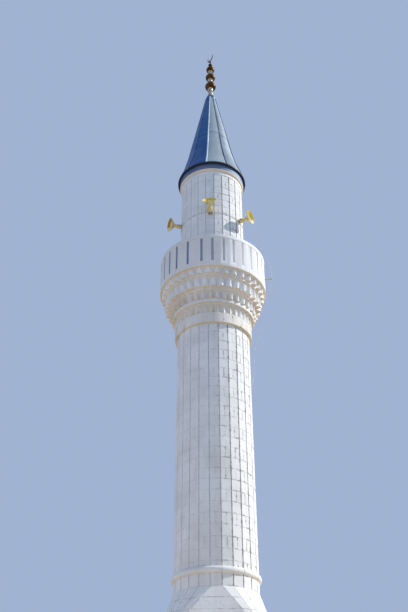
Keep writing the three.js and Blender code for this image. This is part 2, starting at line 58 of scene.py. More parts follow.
def reach_of(node):
    """How far a node comes out to the front of the axis."""
    return -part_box(node)[0].y


QUARTER_SPREAD = 0.00022
FACES = 24
FACE_ANGLE = 360 / FACES
GROOVE_HALF = 0.011
SHAFT_BOTTOM = heights("shaft_front")[0]
SHAFT_APOTHEM = reach_of("shaft_front") - QUARTER_SPREAD
COLLAR_BOTTOM, COLLAR_TOP = heights("collar_ring")
COLLAR_RADIUS = reach_of("collar_ring")
UPPER_TURN = -3.75
UPPER_APOTHEM = 1.015
UPPER_WELL = 0.74
BALCONY_FLOOR = heights("balcony_floor")[1]
PARAPET_INSIDE = 1.500
EAVE_BOTTOM, EAVE_TOP = heights("eave_edge")
EAVE_RADIUS = reach_of("eave_edge")
SPIRE_TIP = heights("spire_roof")[1]
FOOT_OUT = 0.08
BASE_HALF = -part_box("base_left_wall")[0].x - FOOT_OUT
BASE_WALL_TOP = heights("base_front_wall")[1]
BASE_TOP = heights("base_cornice")[1]


def cos_of(degrees):
    return math.cos(math.radians(degrees))


def sin_of(degrees):
    return math.sin(math.radians(degrees))


def radial(azimuth):
    return Vector((sin_of(azimuth), -cos_of(azimuth), 0))


def tangent(azimuth):
    return Vector((cos_of(azimuth), sin_of(azimuth), 0))


def polar(radius, azimuth, height):
    return radial(azimuth) * radius + UP * height


def direction(azimuth, tilt):
    """Towards an azimuth, at an angle above the level."""
    return polar(cos_of(tilt), azimuth, sin_of(tilt))


def lerp(a, b, share):
    return a + (b - a) * share


def linear(red, green, blue):
    """A colour as the screen shows it, 0 to 255, as the shader's own numbers."""
    def part(value):
        value /= 255
        return value / 12.92 if value <= 0.04045 else ((value + 0.055) / 1.055) ** 2.4
    return (part(red), part(green), part(blue), 1)


def linked(name, data):
    """A new object in the scene."""
    made = bpy.data.objects.new(name, data)
    scene.collection.objects.link(made)
    return made


# Camera at the photograph's place: far below, looking up
PHOTO_HEIGHT = 612
FOCAL_PIXELS = 786
SENSOR = 36
CAMERA_PLACE = Vector((0, -20, 1.6))
CAMERA_YAW = 0.80
CAMERA_PITCH = 34.64
CAMERA_ROLL = -0.20

camera_data = bpy.data.cameras.new("camera")
camera_data.sensor_width = SENSOR
camera_data.lens = SENSOR * FOCAL_PIXELS / PHOTO_HEIGHT
camera_data.clip_end = 200
camera = linked("camera", camera_data)
camera.matrix_world = (
    Matrix.Translation(CAMERA_PLACE)
    @ Matrix.Rotation(math.radians(CAMERA_YAW), 4, "Z")
    @ Matrix.Rotation(math.radians(90 + CAMERA_PITCH), 4, "X")
    @ Matrix.Rotation(math.radians(CAMERA_ROLL), 4, "Z")
)
scene.camera = camera
scene.view_settings.view_transform = "Standard"


# Light: a soft sun from the right, an even sky and a faint warm fill from the left
SKY = linear(161, 179, 210)
SKY_STRENGTH = 1.0


def add_sun(name, azimuth, height, strength, spread, colour):
    """A sun lamp: where it stands, in degrees, its strength, its spread in degrees and its colour."""
    data = bpy.data.lights.new(name, "SUN")
    data.energy = strength
    data.angle = math.radians(spread)
    data.color = colour
    linked(name, data).rotation_euler = direction(azimuth, height).to_track_quat("Z", "Y").to_euler()


add_sun("sun", azimuth=92, height=38, strength=4.1, spread=2.0, colour=(1.0, 0.97, 0.92))
add_sun("fill", azimuth=-75, height=0, strength=0.12, spread=60, colour=(1.0, 0.66, 0.6))

world = bpy.data.worlds.new("sky")
world.use_nodes = True
background = world.node_tree.nodes["Background"].inputs
background["Color"].default_value = SKY
background["Strength"].default_value = SKY_STRENGTH
scene.world = world


# Node materials
class Surface:
    """A node material under construction."""

    def __init__(self, name, roughness, metallic=0.0):
        self.material = bpy.data.materials.new(name)
        self.material.use_nodes = True
        self.tree = self.material.node_tree
        self.shader = self.tree.nodes["Principled BSDF"]
        self.shader.inputs["Roughness"].default_value = roughness
        self.shader.inputs["Metallic"].default_value = metallic
        self.place = self.node("ShaderNodeTexCoord", {}, "Object")
        split = self.tree.nodes.new("ShaderNodeSeparateXYZ")
        self.tree.links.new(self.place, split.inputs[0])
        self.x, self.y, self.z = split.outputs

    def node(self, kind, values, output=0, **settings):
        made = self.tree.nodes.new(kind)
        for key, value in settings.items():
            setattr(made, key, value)
        for key, value in values.items():
            if isinstance(value, bpy.types.NodeSocket):
                self.tree.links.new(value, made.inputs[key])
            else:
                made.inputs[key].default_value = value
        return made.outputs[output]

    def noise(self, scale, detail=3.0, stretch=None):
        place = self.place
        if stretch:
            place = self.node("ShaderNodeMapping", {"Vector": place, "Scale": stretch})
        return self.node("ShaderNodeTexNoise", {"Vector": place, "Scale": scale, "Detail": detail}, "Fac")

    def span(self, value, low, high):
        """0 up to low, 1 from high, and straight between them."""
        return self.node("ShaderNodeMapRange", {"Value": value, "From Min": low, "From Max": high})

    def math(self, operation, a, b=0.0):
        return self.node("ShaderNodeMath", {0: a, 1: b}, operation=operation)

    def times(self, *values):
        product = values[0]
        for value in values[1:]:
            product = self.math("MULTIPLY", product, value)
        return product

    def attribute(self, name):
        return self.node("ShaderNodeAttribute", {}, "Fac", attribute_name=name)

    def mix(self, share, a, b, blend="MIX"):
        """Two colours mixed: each is a socket, or red, green and blue as the screen shows them."""
        a, b = (linear(*colour) if isinstance(colour, tuple) else colour for colour in (a, b))
        return self.node(
            "ShaderNodeMix", {0: share, 6: a, 7: b}, 2, data_type="RGBA", blend_type=blend,
        )

    def blotch(self, colour, other, scale, detail, low, high, share=1.0, stretch=None):
        """Another colour where a noise goes from low to high, up to a share of it."""
        mask = self.span(self.noise(scale, detail, stretch), low, high)
        return self.mix(self.times(mask, share), colour, other)

    def normal_z(self):
        normal = self.node("ShaderNodeNewGeometry", {}, "Normal")
        return self.node("ShaderNodeSeparateXYZ", {0: normal}, "Z")

    def radius(self):
        """The distance from the tower's axis."""
        square = self.math("ADD", self.times(self.x, self.x), self.times(self.y, self.y))
        return self.math("POWER", square, 0.5)

    def bump(self, height, distance):
        values = {"Height": height, "Distance": distance, "Strength": 1.0}
        earlier = self.shader.inputs["Normal"].links
        if earlier:
            values["Normal"] = earlier[0].from_socket
        self.tree.links.new(self.node("ShaderNodeBump", values), self.shader.inputs["Normal"])

    def finished(self, colour, gloss, *bumps):
        """The material with its colour, its mottled roughness and its bumps.

        Gloss is a noise's scale and detail and the roughness from low to high.
        Each bump is a noise's scale and detail, its distance and perhaps its stretch.
        """
        self.tree.links.new(colour, self.shader.inputs["Base Color"])
        if gloss:
            scale, detail, low, high = gloss
            values = {"Value": self.noise(scale, detail), "To Min": low, "To Max": high}
            rough = self.node("ShaderNodeMapRange", values)
            self.tree.links.new(rough, self.shader.inputs["Roughness"])
        for scale, detail, distance, *stretch in bumps:
            self.bump(self.noise(scale, detail, *stretch), distance)
        return self.material


WHITE = (239, 238, 233)
# The parapet's whiter limewash towards +X: painted light on its sunlit side
SUNLIT_WHITE = (254, 254, 252)
AGED = (214, 212, 205)
STREAK = (176, 172, 163)
SMUDGE_AND_SHADOW = (104, 103, 102)
JOINT_GREY = (160, 159, 157)
MORTAR_AND_GROOVE_SHADE = (112, 111, 109)
# Multiplied on down-facing faces, and by a share all over some mouldings: painted warm bounce light from
# the floor
UNDERSIDE_BOUNCE = (246, 222, 184)
RUST = (150, 98, 40)
# Joints, their smudges and the mortar are drawn darker towards +X, between these places: part wear, part
# painted shadow of the raking sun on the lit side
SUN_SIDE_FROM = -0.1
SUN_SIDE_TO = 0.5
# The parapet's slots are drawn darker than its face, and most of all towards -X: painted shade in the
# recesses, deepest on the side away from the sun
SLOT_BACK = 1.550
SLOT_FRONT = 1.638
SLOT_BOTTOM = 15.930
SLOT_TOP = 16.800
SLOT_PAINTED_SHADE = (174, 190, 202)


def slot_mask(s):
    """1 inside the parapet's slots."""
    radius = s.radius()
    return s.times(
        s.span(radius, SLOT_BACK, SLOT_BACK + 0.003), s.span(radius, SLOT_FRONT, SLOT_FRONT - 0.006),
        s.span(s.z, SLOT_BOTTOM - 0.004, SLOT_BOTTOM), s.span(s.z, SLOT_TOP, SLOT_TOP - 0.004),
    )


def limewashed(name, smudges, warm=0.0, slots=False, soffit=0.85, wear_and_shade=None, dirt=0.25):
    """Limewashed stone: blotches, rain streaks, smudged joints and a warm tint on undersides, which is
    painted bounce light.

    The joints and their smudges are drawn darker towards +X, part wear and part painted raking shadow,
    unless an even share is given.
    """
    s = Surface(name, 0.86)
    colour = s.blotch(WHITE, AGED, 1.3, 4, 0.40, 0.68, 0.6)
    colour = s.mix(s.times(s.attribute("tone"), 0.16), colour, AGED)
    colour = s.blotch(colour, STREAK, 5.0, 4, 0.56, 0.78, dirt, (1, 1, 0.09))
    colour = s.blotch(colour, STREAK, 24, 3, 0.66, 0.76, dirt)
    if wear_and_shade is None:
        wear_and_shade = s.math("ADD", s.times(s.span(s.x, SUN_SIDE_FROM, SUN_SIDE_TO), 0.85), 0.15)
    # The smudges and the joint grey grow towards +X: part wear, part painted raking shadow
    joint = s.attribute("joint")
    smudge_and_shadow = s.times(s.span(joint, 0.10, 0.75), wear_and_shade, smudges)
    colour = s.blotch(colour, SMUDGE_AND_SHADOW, 6.5, 4, 0.50, 0.62, smudge_and_shadow, (1, 1, 1.6))
    colour = s.mix(s.times(s.span(joint, 0.55, 1.0), wear_and_shade, 0.8), colour, JOINT_GREY)
    # Painted warm bounce light: on down-facing faces by the soffit share, all over by the warm share
    below = s.math("MAXIMUM", s.times(s.span(s.normal_z(), -0.25, -0.75), soffit), warm)
    if slots:
        slot = slot_mask(s)
        # The parapet is drawn whiter towards +X and greyer towards -X: painted light on the sunlit side,
        # painted shade on the other
        colour = s.mix(s.times(s.span(s.x, 0.2, 0.9), 0.45), colour, SUNLIT_WHITE)
        colour = s.mix(s.times(s.span(s.x, 0.5, -0.1), 0.45), colour, AGED)
        # Painted shade inside the slots, fading out towards +X
        colour = s.mix(s.times(slot, s.span(s.x, 0.35, -0.55)), colour, SLOT_PAINTED_SHADE)
        # No painted bounce light inside the slots
        below = s.times(below, s.span(slot, 1.0, 0.0))
    colour = s.mix(below, colour, UNDERSIDE_BOUNCE, "MULTIPLY")
    return s.finished(colour, (9, 3, 0.78, 0.95), (90, 4, 0.0012), (11, 4, 0.006))


def lead(name, base, pale, dark, roughness=0.48):
    """Weathered sheet lead: oxide blotches, pale runs and a tone of its own on each sheet."""
    s = Surface(name, roughness, 0.35)
    colour = s.blotch(base, pale, 2.2, 5, 0.38, 0.66)
    colour = s.mix(s.times(s.attribute("tone"), 0.3), colour, dark)
    colour = s.blotch(colour, pale, 9, 4, 0.55, 0.8, 0.5, (1, 1, 0.06))
    colour = s.blotch(colour, dark, 40, 2, 0.62, 0.75, 0.4)
    colour = s.mix(s.times(s.span(s.attribute("joint"), 0.3, 1.0), 0.6), colour, dark)
    gloss = (6, 4, roughness - 0.12, roughness + 0.14)
    return s.finished(colour, gloss, (3.2, 2, 0.006), (70, 3, 0.0006))


def enamel(name, base, worn_tone, rust):
    """Chalky sprayed enamel on sheet metal, with rust where it is thin."""
    s = Surface(name, 0.42)
    colour = s.blotch(base, worn_tone, 9, 4, 0.40, 0.66)
    colour = s.blotch(colour, rust, 55, 4, 0.66, 0.74, 0.8)
    colour = s.mix(s.times(s.span(s.attribute("joint"), 0.3, 1.0), 0.7), colour, rust)
    return s.finished(colour, (14, 3, 0.34, 0.58), (160, 2, 0.0003))


def mouth_enamel(name, base, mustard):
    """The enamel inside a horn: pale, and mustard where the joint attribute is high; build_horn sets it as
    painted shade.
    """
    s = Surface(name, 0.42)
    edge = s.math("ADD", s.attribute("joint"), s.times(s.span(s.noise(30, 3), 0.3, 0.7), 0.2))
    colour = s.mix(s.span(edge, 0.45, 0.75), base, mustard)
    colour = s.blotch(colour, RUST, 60, 4, 0.68, 0.76, 0.6)
    return s.finished(colour, (14, 3, 0.36, 0.6), (160, 2, 0.0003))


def metal(name, base, other, roughness, metallic, grain=30):
    """Bare or painted metal with a mottled film."""
    s = Surface(name, roughness, metallic)
    colour = s.blotch(base, other, grain, 4, 0.36, 0.66)
    colour = s.blotch(colour, other, grain * 4, 2, 0.6, 0.75, 0.5)
    return s.finished(colour, (grain, 3, roughness - 0.1, roughness + 0.15), (grain * 5, 3, 0.0004))


def sheath(name, base, dusty):
    """A cable's plastic sheath, chalky, with dust along it."""
    s = Surface(name, 0.55)
    return s.finished(s.blotch(base, dusty, 12, 4, 0.42, 0.66), (30, 2, 0.45, 0.7), (260, 2, 0.0002))


def timber(name, base, dark, grey):
    """Weathered softwood with its grain along the local run of the stick."""
    s = Surface(name, 0.75)
    along = (0.05, 1, 1)
    colour = s.blotch(base, dark, 60, 5, 0.38, 0.62, stretch=along)
    return s.finished(s.blotch(colour, grey, 8, 3, 0.5, 0.7, 0.4), None, (60, 5, 0.0012, along))


def plastered(name, base, stain):
    """Plaster and floor slabs inside: trowel marks, damp stains and dust."""
    s = Surface(name, 0.9)
    colour = s.blotch(base, stain, 0.9, 5, 0.42, 0.66)
    colour = s.blotch(colour, stain, 30, 3, 0.6, 0.74, 0.4)
    return s.finished(colour, None, (14, 5, 0.006, (1, 1, 0.4)), (120, 2, 0.0008))


def cored(name, apothem, wear_and_shade):
    """Behind the stones: mortar near the outer faces, darker towards +X as part wear and part painted shade
    in the grooves, and plaster on the reveals and in the well.
    """
    s = Surface(name, 0.92)
    mortar = s.blotch((204, 203, 200), (224, 223, 218), 10, 4, 0.4, 0.65)
    # Darker mortar towards +X: painted shade in the grooves on the sunlit side, with some wear
    mortar = s.mix(s.times(s.span(s.x, SUN_SIDE_FROM, SUN_SIDE_TO), wear_and_shade), mortar, MORTAR_AND_GROOVE_SHADE)
    inner = s.blotch((222, 219, 210), (186, 181, 170), 1.4, 5, 0.4, 0.66)
    outside = s.span(s.radius(), apothem - 0.035, apothem - 0.025)
    return s.finished(s.mix(outside, inner, mortar), None, (60, 4, 0.002))


# warm and soffit are shares of the painted warm bounce light
LIMEWASH = limewashed("limewashed_stone", 1.0, soffit=0.15)
LIMEWASH_BASE = limewashed("limewashed_base", 1.0, soffit=0.15, wear_and_shade=0.4)
LIMEWASH_BEAD = limewashed("limewashed_bead", 0.5, soffit=0.4)
LIMEWASH_COLLAR = limewashed("limewashed_collar", 1.0, warm=0.22, dirt=0.85)
LIMEWASH_CARVED = limewashed("limewashed_carving", 0.4)
LIMEWASH_PARAPET = limewashed("limewashed_parapet", 0.4, slots=True)
LIMEWASH_MOULDED = limewashed("limewashed_moulding", 0.3, warm=0.7)
SHAFT_CORE = cored("shaft_core", SHAFT_APOTHEM, 0.55)
UPPER_CORE = cored("upper_core", UPPER_APOTHEM, 0.85)
BASE_CORE = plastered("base_core", (190, 187, 180), (150, 147, 141))
PLASTER = plastered("plaster", (226, 223, 214), (188, 181, 168))
# Copies of one lead for the light: the deep blue is painted shade and sky reflection, the pale painted
# sheen, the grey painted sunlight
LEAD_SHADED = lead("lead_sheet", (12, 82, 144), (36, 104, 160), (10, 60, 112))
LEAD_SHEEN = lead("lead_sheet_sheen", (178, 190, 188), (188, 200, 200), (120, 140, 156))
LEAD_SUNLIT = lead("lead_sheet_sunlit", (116, 132, 144), (134, 150, 160), (84, 102, 118))
LEAD_FASCIA = lead("lead_fascia", (98, 116, 150), (120, 136, 162), (70, 86, 116), 0.62)
LEAD_ROLL = lead("lead_roll", (76, 100, 138), (108, 130, 160), (50, 68, 102), 0.40)
# The pale copy of the roll lead: a painted highlight where the sun catches the front roll
LEAD_ROLL_HIGHLIGHT = lead("lead_roll_highlight", (184, 200, 216), (204, 214, 222), (130, 146, 166), 0.40)
DARK_EDGE = metal("dark_edge", (9, 11, 15), (22, 24, 29), 0.5, 0.2, 18)
BRACKET_PAINT = metal("bracket_paint", (208, 196, 164), (166, 148, 112), 0.55, 0.1)
ZINC = metal("zinc_bolt", (150, 152, 155), (98, 92, 86), 0.45, 0.8, 60)
BRASS = metal("finial_brass", (116, 72, 20), (46, 31, 16), 0.5, 0.8, 9)
NECK_METAL = metal("finial_necks", (206, 198, 180), (160, 152, 134), 0.34, 0.4, 12)
CREAM = enamel("cream_enamel", (234, 214, 148), (210, 184, 122), (150, 98, 48))
MOUTH = mouth_enamel("mouth_enamel", (246, 238, 200), (226, 194, 46))
# A darker, more orange copy of the mouth enamel for the left horn: painted shade on the horn whose mouth
# faces away from the sun, with an orange stain
MOUTH_SHADED_ORANGE = mouth_enamel("mouth_enamel_shaded_orange", (244, 230, 186), (184, 134, 10))
SHEATH = sheath("cable_sheath", (206, 208, 210), (168, 168, 166))
SPEAKER_SHEATH = sheath("speaker_sheath", (222, 221, 218), (196, 193, 190))
WOOD = timber("bare_wood", (222, 204, 160), (186, 162, 120), (150, 142, 130))


# Meshes
class Shape:
    """Faces under construction: each point has a joint value, each face a tone and a material."""

    def __init__(self, seed=1):
        self.random = random.Random(seed)
        self.points = []
        self.joints = []
        self.faces = []
        self.tones = []
        self.slots = []

    def ring(self, points, joint=0.0):
        first = len(self.points)
        self.points.extend(points)
        self.joints.extend([joint] * len(points))
        return list(range(first, len(self.points)))

    def face(self, corners, tone=0.5, slot=0):
        self.faces.append(corners)
        self.tones.append(tone)
        self.slots.append(slot)

    def band(self, lower, upper, tone=0.5, slot=0):
        for k, corner in enumerate(lower):
            after = (k + 1) % len(lower)
            self.face([corner, lower[after], upper[after], upper[k]], tone, slot)

    def loft(self, rings, tone=0.5, slot=0, flipped=False):
        """A band from each ring to the next, and a face at each end."""
        first, last = (rings[0], rings[-1][::-1]) if flipped else (rings[0][::-1], rings[-1])
        self.face(first, tone, slot)
        for one, other in zip(rings, rings[1:]):
            self.band(one, other, tone, slot)
        self.face(last, tone, slot)

    def make(self, name, materials, replaced=(), smooth=32):
        mesh = bpy.data.meshes.new(name)
        mesh.from_pydata(self.points, [], self.faces)
        for key, domain, values in ("joint", "POINT", self.joints), ("tone", "FACE", self.tones):
            mesh.attributes.new(key, "FLOAT", domain).data.foreach_set("value", values)
        mesh.polygons.foreach_set("material_index", self.slots)
        add_piece(name, mesh, materials, replaced, smooth)


WELD = 0.00001
SIDES = ("front", "right", "back", "left")


def riding(name, data, replaced=()):
    """A piece that rides on the tower, in place of the nodes that it replaces."""
    piece = linked(name, data)
    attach(piece, "root")
    if replaced:
        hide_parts(*replaced)
    return piece


def add_piece(name, mesh, materials, replaced=(), smooth=32):
    """A mesh as a piece: welded, its normals outwards, softly shaded."""
    work = bmesh.new()
    work.from_mesh(mesh)
    bmesh.ops.remove_doubles(work, verts=work.verts, dist=WELD)
    bmesh.ops.recalc_face_normals(work, faces=work.faces)
    work.to_mesh(mesh)
    work.free()
    for material in materials:
        mesh.materials.append(material)
    mesh.polygons.foreach_set("use_smooth", [True] * len(mesh.polygons))
    mesh.set_sharp_from_angle(angle=math.radians(smooth))
    riding(name, mesh, replaced)


def paint(material, start, parts=SIDES):
    """A material for nodes that keep their own form."""
    for part in parts:
        nodes[start + part].data.materials[0] = material


NOSE_ROUND = 0.036
NOSE_WITHIN = 0.004
PLUMB_WITHIN = 0.001
FLAT_TO = 0.5
SOFT_FROM = 25


def is_upright_at(edge, radius):
    """Whether an edge stands upright at a radius from the axis."""
    one, other = (vert.co for vert in edge.verts)
    return abs(one.xy.length - radius) < NOSE_WITHIN and (one.xy - other.xy).length < PLUMB_WITHIN


def rounded(work, edges, width, segments):
    bmesh.ops.bevel(
        work, geom=edges, offset=width, offset_type="OFFSET", segments=segments, profile=0.5,
        affect="EDGES", clamp_overlap=True,
    )


def softened(node, name, width, material, nose=None):
    """A CAD node's form with its edges worn round, in place of the node.

    Where a nose radius is given, the upright edges at that radius are rounded more.
    """
    mesh = nodes[node].data.copy()
    mesh.name = name
    mesh.materials.clear()
    work = bmesh.new()
    work.from_mesh(mesh)
    bmesh.ops.remove_doubles(work, verts=work.verts, dist=WELD)
    bmesh.ops.dissolve_limit(
        work, angle_limit=math.radians(FLAT_TO), verts=work.verts, edges=work.edges,
    )
    if nose:
        rounded(work, [edge for edge in work.edges if is_upright_at(edge, nose)], NOSE_ROUND, 3)
    sharp = [edge for edge in work.edges if edge.calc_face_angle(0) > math.radians(SOFT_FROM)]
    rounded(work, sharp, width, 2)
    work.to_mesh(mesh)
    work.free()
    add_piece(name, mesh, [material], [node])


# Stones
JOINT_HALF = 0.0013
PROUD = 0.0042
PROUD_SPREAD = 0.0009
CHAMFER = 0.0026
SINK = 0.012
BORDER = 0.034
CROWN = 0.0004
EDGE_JOINT = 0.55


def face_normal(corners):
    total = Vector((0, 0, 0))
    for one, other in zip(corners[1:], corners[2:]):
        total += (one - corners[0]).cross(other - corners[0])
    return total.normalized()


def inward_of(corners, normal):
    """From each side of an outline, the direction into it."""
    sides = zip(corners, corners[1:] + corners[:1])
    return [normal.cross(after - corner).normalized() for corner, after in sides]


def inset(corners, normal, distance):
    """An outline drawn in by the same distance on every side."""
    inwards = inward_of(corners, normal)
    return [
        corner + (inwards[k - 1] + inwards[k]) * (distance / (1 + inwards[k - 1].dot(inwards[k])))
        for k, corner in enumerate(corners)
    ]


def stone(shape, corners):
    """A dressed stone on a flat wall: corners anticlockwise as seen from outside."""
    normal = face_normal(corners)
    centre = sum(corners, Vector()) / len(corners)
    inwards = inward_of(corners, normal)
    narrowest = min((centre - corner).dot(inward) for corner, inward in zip(corners, inwards))
    if narrowest < 2 * (JOINT_HALF + CHAMFER):
        return
    level = PROUD + shape.random.uniform(-PROUD_SPREAD, PROUD_SPREAD)
    outline = inset(corners, normal, JOINT_HALF)
    front = inset(outline, normal, CHAMFER)
    inner = inset(front, normal, min(BORDER, 0.6 * (narrowest - JOINT_HALF - CHAMFER)))
    tone = shape.random.random()
    back = shape.ring([p - normal * SINK for p in outline], 1.0)
    base = shape.ring([p + normal * (level - CHAMFER) for p in outline], 1.0)
    edge = shape.ring([p + normal * level for p in front], EDGE_JOINT)
    flat = shape.ring([p + normal * (level + CROWN) for p in inner])
    shape.loft([back, base, edge, flat], tone)


def evenly(low, high, count):
    return [lerp(low, high, k / count) for k in range(count + 1)]


def divide(low, high, size):
    """Even levels from low to high, about one size apart."""
    return evenly(low, high, max(1, round((high - low) / size)))


def without(runs, low, high):
    """Runs along a wall, less the stretch that an opening takes."""
    left = [(a, min(b, low)) for a, b in runs if a < low]
    right = [(max(a, high), b) for a, b in runs if b > high]
    return left + right


JOINT_SHIFT = 0.03


def wall_runs(half, length, course, rng):
    """The stones of one course of a straight wall, broken over the course below."""
    joints = divide(-half, half, length)
    step = joints[1] - joints[0]
    if course % 2:
        joints = [-half] + [joint + step / 2 for joint in joints[:-1]] + [half]
    joints[1:-1] = [joint + rng.uniform(-JOINT_SHIFT, JOINT_SHIFT) for joint in joints[1:-1]]
    return list(zip(joints, joints[1:]))


def upright_stone(shape, origin, along, run, low, high):
    places = rectangle(*run, low, high)
    stone(shape, [origin + along * aside + UP * height for aside, height in places])


def rectangle(left, right, low, high):
    return [(left, low), (right, low), (right, high), (left, high)]


def faceted_wall(shape, apothem, turn, levels, door_half=0, door_top=0, door_azimuth=0):
    """The stones on the 24 faces of a shaft, with a joint down the middle of every second course."""
    half = apothem * math.tan(math.radians(FACE_ANGLE / 2)) - GROOVE_HALF
    for face in range(FACES):
        azimuth = face * FACE_ANGLE + turn
        middle, slant = apothem * sin_of(azimuth - door_azimuth), cos_of(azimuth - door_azimuth)
        for course, (low, high) in enumerate(zip(levels, levels[1:])):
            runs = [(-half, 0), (0, half)] if course % 2 else [(-half, half)]
            if high <= door_top + WELD and slant > 0.5:
                runs = without(runs, (-door_half - middle) / slant, (door_half - middle) / slant)
            for run in runs:
                upright_stone(shape, radial(azimuth) * apothem, tangent(azimuth), run, low, high)


COURSE = 0.29


def build_shaft():
    shape = Shape(11)
    faceted_wall(shape, SHAFT_APOTHEM, 0, divide(SHAFT_BOTTOM, COLLAR_BOTTOM, COURSE))
    shape.make("shaft_stones", [LIMEWASH])
    paint(SHAFT_CORE, "shaft_")


UPPER_DOOR_HALF = 0.32
UPPER_DOOR_TOP = 17.56
UPPER_DOOR_AZIMUTH = 180 + UPPER_TURN
FILLET_BOTTOM = 20.03


def build_upper_wall():
    shape = Shape(12)
    levels = divide(BALCONY_FLOOR, UPPER_DOOR_TOP, COURSE)
    levels += divide(UPPER_DOOR_TOP, FILLET_BOTTOM, COURSE)[1:]
    faceted_wall(
        shape, UPPER_APOTHEM, UPPER_TURN, levels, UPPER_DOOR_HALF, UPPER_DOOR_TOP, UPPER_DOOR_AZIMUTH,
    )
    shape.make("upper_wall_stones", [LIMEWASH])
    paint(UPPER_CORE, "upper_wall_", ("front", "right", "left", "back_left", "back_right", "over_door"))


# Base: blocks on its four walls, its foot and its cornice
DOOR_HALF = 0.4
DOOR_TOP = 2.25
FOOT_TOP = 0.45
CORNICE_MIDDLE = BASE_WALL_TOP + 0.12
CORNICE_OUT = 0.03
BLOCK = 0.62


def build_base():
    shape = Shape(13)
    levels = divide(FOOT_TOP, DOOR_TOP, COURSE) + divide(DOOR_TOP, BASE_WALL_TOP, COURSE)[1:]
    rows = [(0, FOOT_TOP, FOOT_OUT)]
    rows += [(low, high, 0) for low, high in zip(levels, levels[1:])]
    rows += [(BASE_WALL_TOP, CORNICE_MIDDLE, CORNICE_OUT), (CORNICE_MIDDLE, BASE_TOP, FOOT_OUT)]
    for azimuth in range(0, 360, 90):
        for course, (low, high, out) in enumerate(rows):
            runs = wall_runs(BASE_HALF + out + PROUD, BLOCK, course, shape.random)
            if azimuth == 180 and high <= DOOR_TOP + WELD:
                runs = without(runs, -DOOR_HALF, DOOR_HALF)
            place = radial(azimuth) * (BASE_HALF + out)
            for run in runs:
                upright_stone(shape, place, tangent(azimuth), run, low, high)
    shape.make("base_stones", [LIMEWASH_BASE])
    walls = ("front_wall", "right_wall", "left_wall", "back_right_wall", "back_left_wall", "over_door")
    paint(BASE_CORE, "base_", walls)
    paint(LIMEWASH_BASE, "base_", ["cornice"])
    paint(PLASTER, "floor_", ["slab"])


# Shoe: courses cut from its sloping faces
def clipped(corners, height, keep_above):
    """The part of an outline above or below a level."""
    sign = 1 if keep_above else -1
    kept = []
    for k, corner in enumerate(corners):
        after = corners[(k + 1) % len(corners)]
        here, there = sign * (corner.z - height), sign * (after.z - height)
        if here >= 0:
            kept.append(corner)
        if (here > WELD and there < -WELD) or (here < -WELD and there > WELD):
            kept.append(corner.lerp(after, here / (here - there)))
    return kept


def build_shoe():
    shape = Shape(14)
    levels = divide(BASE_TOP, SHAFT_BOTTOM, COURSE)
    corner_radius = SHAFT_APOTHEM / cos_of(FACE_ANGLE / 2)
    for face in range(FACES):
        azimuth = face * FACE_ANGLE
        top_left = polar(corner_radius, azimuth - FACE_ANGLE / 2, SHAFT_BOTTOM)
        top_right = polar(corner_radius, azimuth + FACE_ANGLE / 2, SHAFT_BOTTOM)
        feet = [azimuth - 45, azimuth + 45] if azimuth % 90 == 0 else [90 * (azimuth // 90) + 45]
        outline = [polar(BASE_HALF * math.sqrt(2), foot, BASE_TOP) for foot in feet]
        outline += [top_right, top_left]
        for course, (low, high) in enumerate(zip(levels, levels[1:])):
            row = clipped(clipped(outline, low, True), high, False)
            if len(row) == 4:
                shoe_course(shape, row, course)
            else:
                stone(shape, row)
    shape.make("shoe_stones", [LIMEWASH_BASE])
    paint(BASE_CORE, "shoe_")


def shoe_course(shape, row, course):
    """One course of a sloping face, cut into stones about a block long."""
    left, right, top_right, top_left = row
    count = max(1, round((right - left).length / BLOCK))
    if count > 1 and course % 2:
        count -= 1
    for k in range(count):
        a, b = k / count, (k + 1) / count
        stone(shape, [left.lerp(right, a), left.lerp(right, b),
                      top_left.lerp(top_right, b), top_left.lerp(top_right, a)])


# Round courses
def ring_course(shape, profile, count, turn=0.0, slot=0, steps=3, chamfer=CHAMFER, gap=JOINT_HALF):
    """A round course: a section, as (radius, height), swept through the angle of each stone."""
    degree = math.degrees(1 / max(radius for radius, _ in profile))
    section = [Vector((radius, 0, height)) for radius, height in profile]
    drawn_in = inset(section, face_normal(section), chamfer)
    edge = (gap + chamfer) * degree
    border = (gap + chamfer + BORDER) * degree
    inner = 360 / count - 2 * border
    ends = [(gap * degree, drawn_in, 1.0), (edge, section, EDGE_JOINT), (border, section, 0.0)]
    places = ends + [(border + inner * k / steps, section, 0.0) for k in range(1, steps)]
    places += [(360 / count - angle, form, joint) for angle, form, joint in ends[::-1]]
    for k in range(count):
        start = turn + k * 360 / count
        rings = [
            shape.ring([polar(point.x, start + angle, point.z) for point in form], joint)
            for angle, form, joint in places
        ]
        shape.loft(rings, shape.random.random(), slot, flipped=True)


def worn(profile, width):
    """A section with each corner cut back."""
    result = []
    for k, point in enumerate(profile):
        here = Vector(point)
        for other in (profile[k - 1], profile[(k + 1) % len(profile)]):
            result.append(tuple(here + (Vector(other) - here).normalized() * width))
    return result


def arc(radius, height, wide, tall, start, end, count):
    """Points of a section on an ellipse round (radius, height), from one angle to another."""
    angles = evenly(start, end, count)
    return [(radius + wide * cos_of(angle), height + tall * sin_of(angle)) for angle in angles]


RING_INSIDE = SHAFT_APOTHEM - 0.02
BEAD_FOOT = 0.010


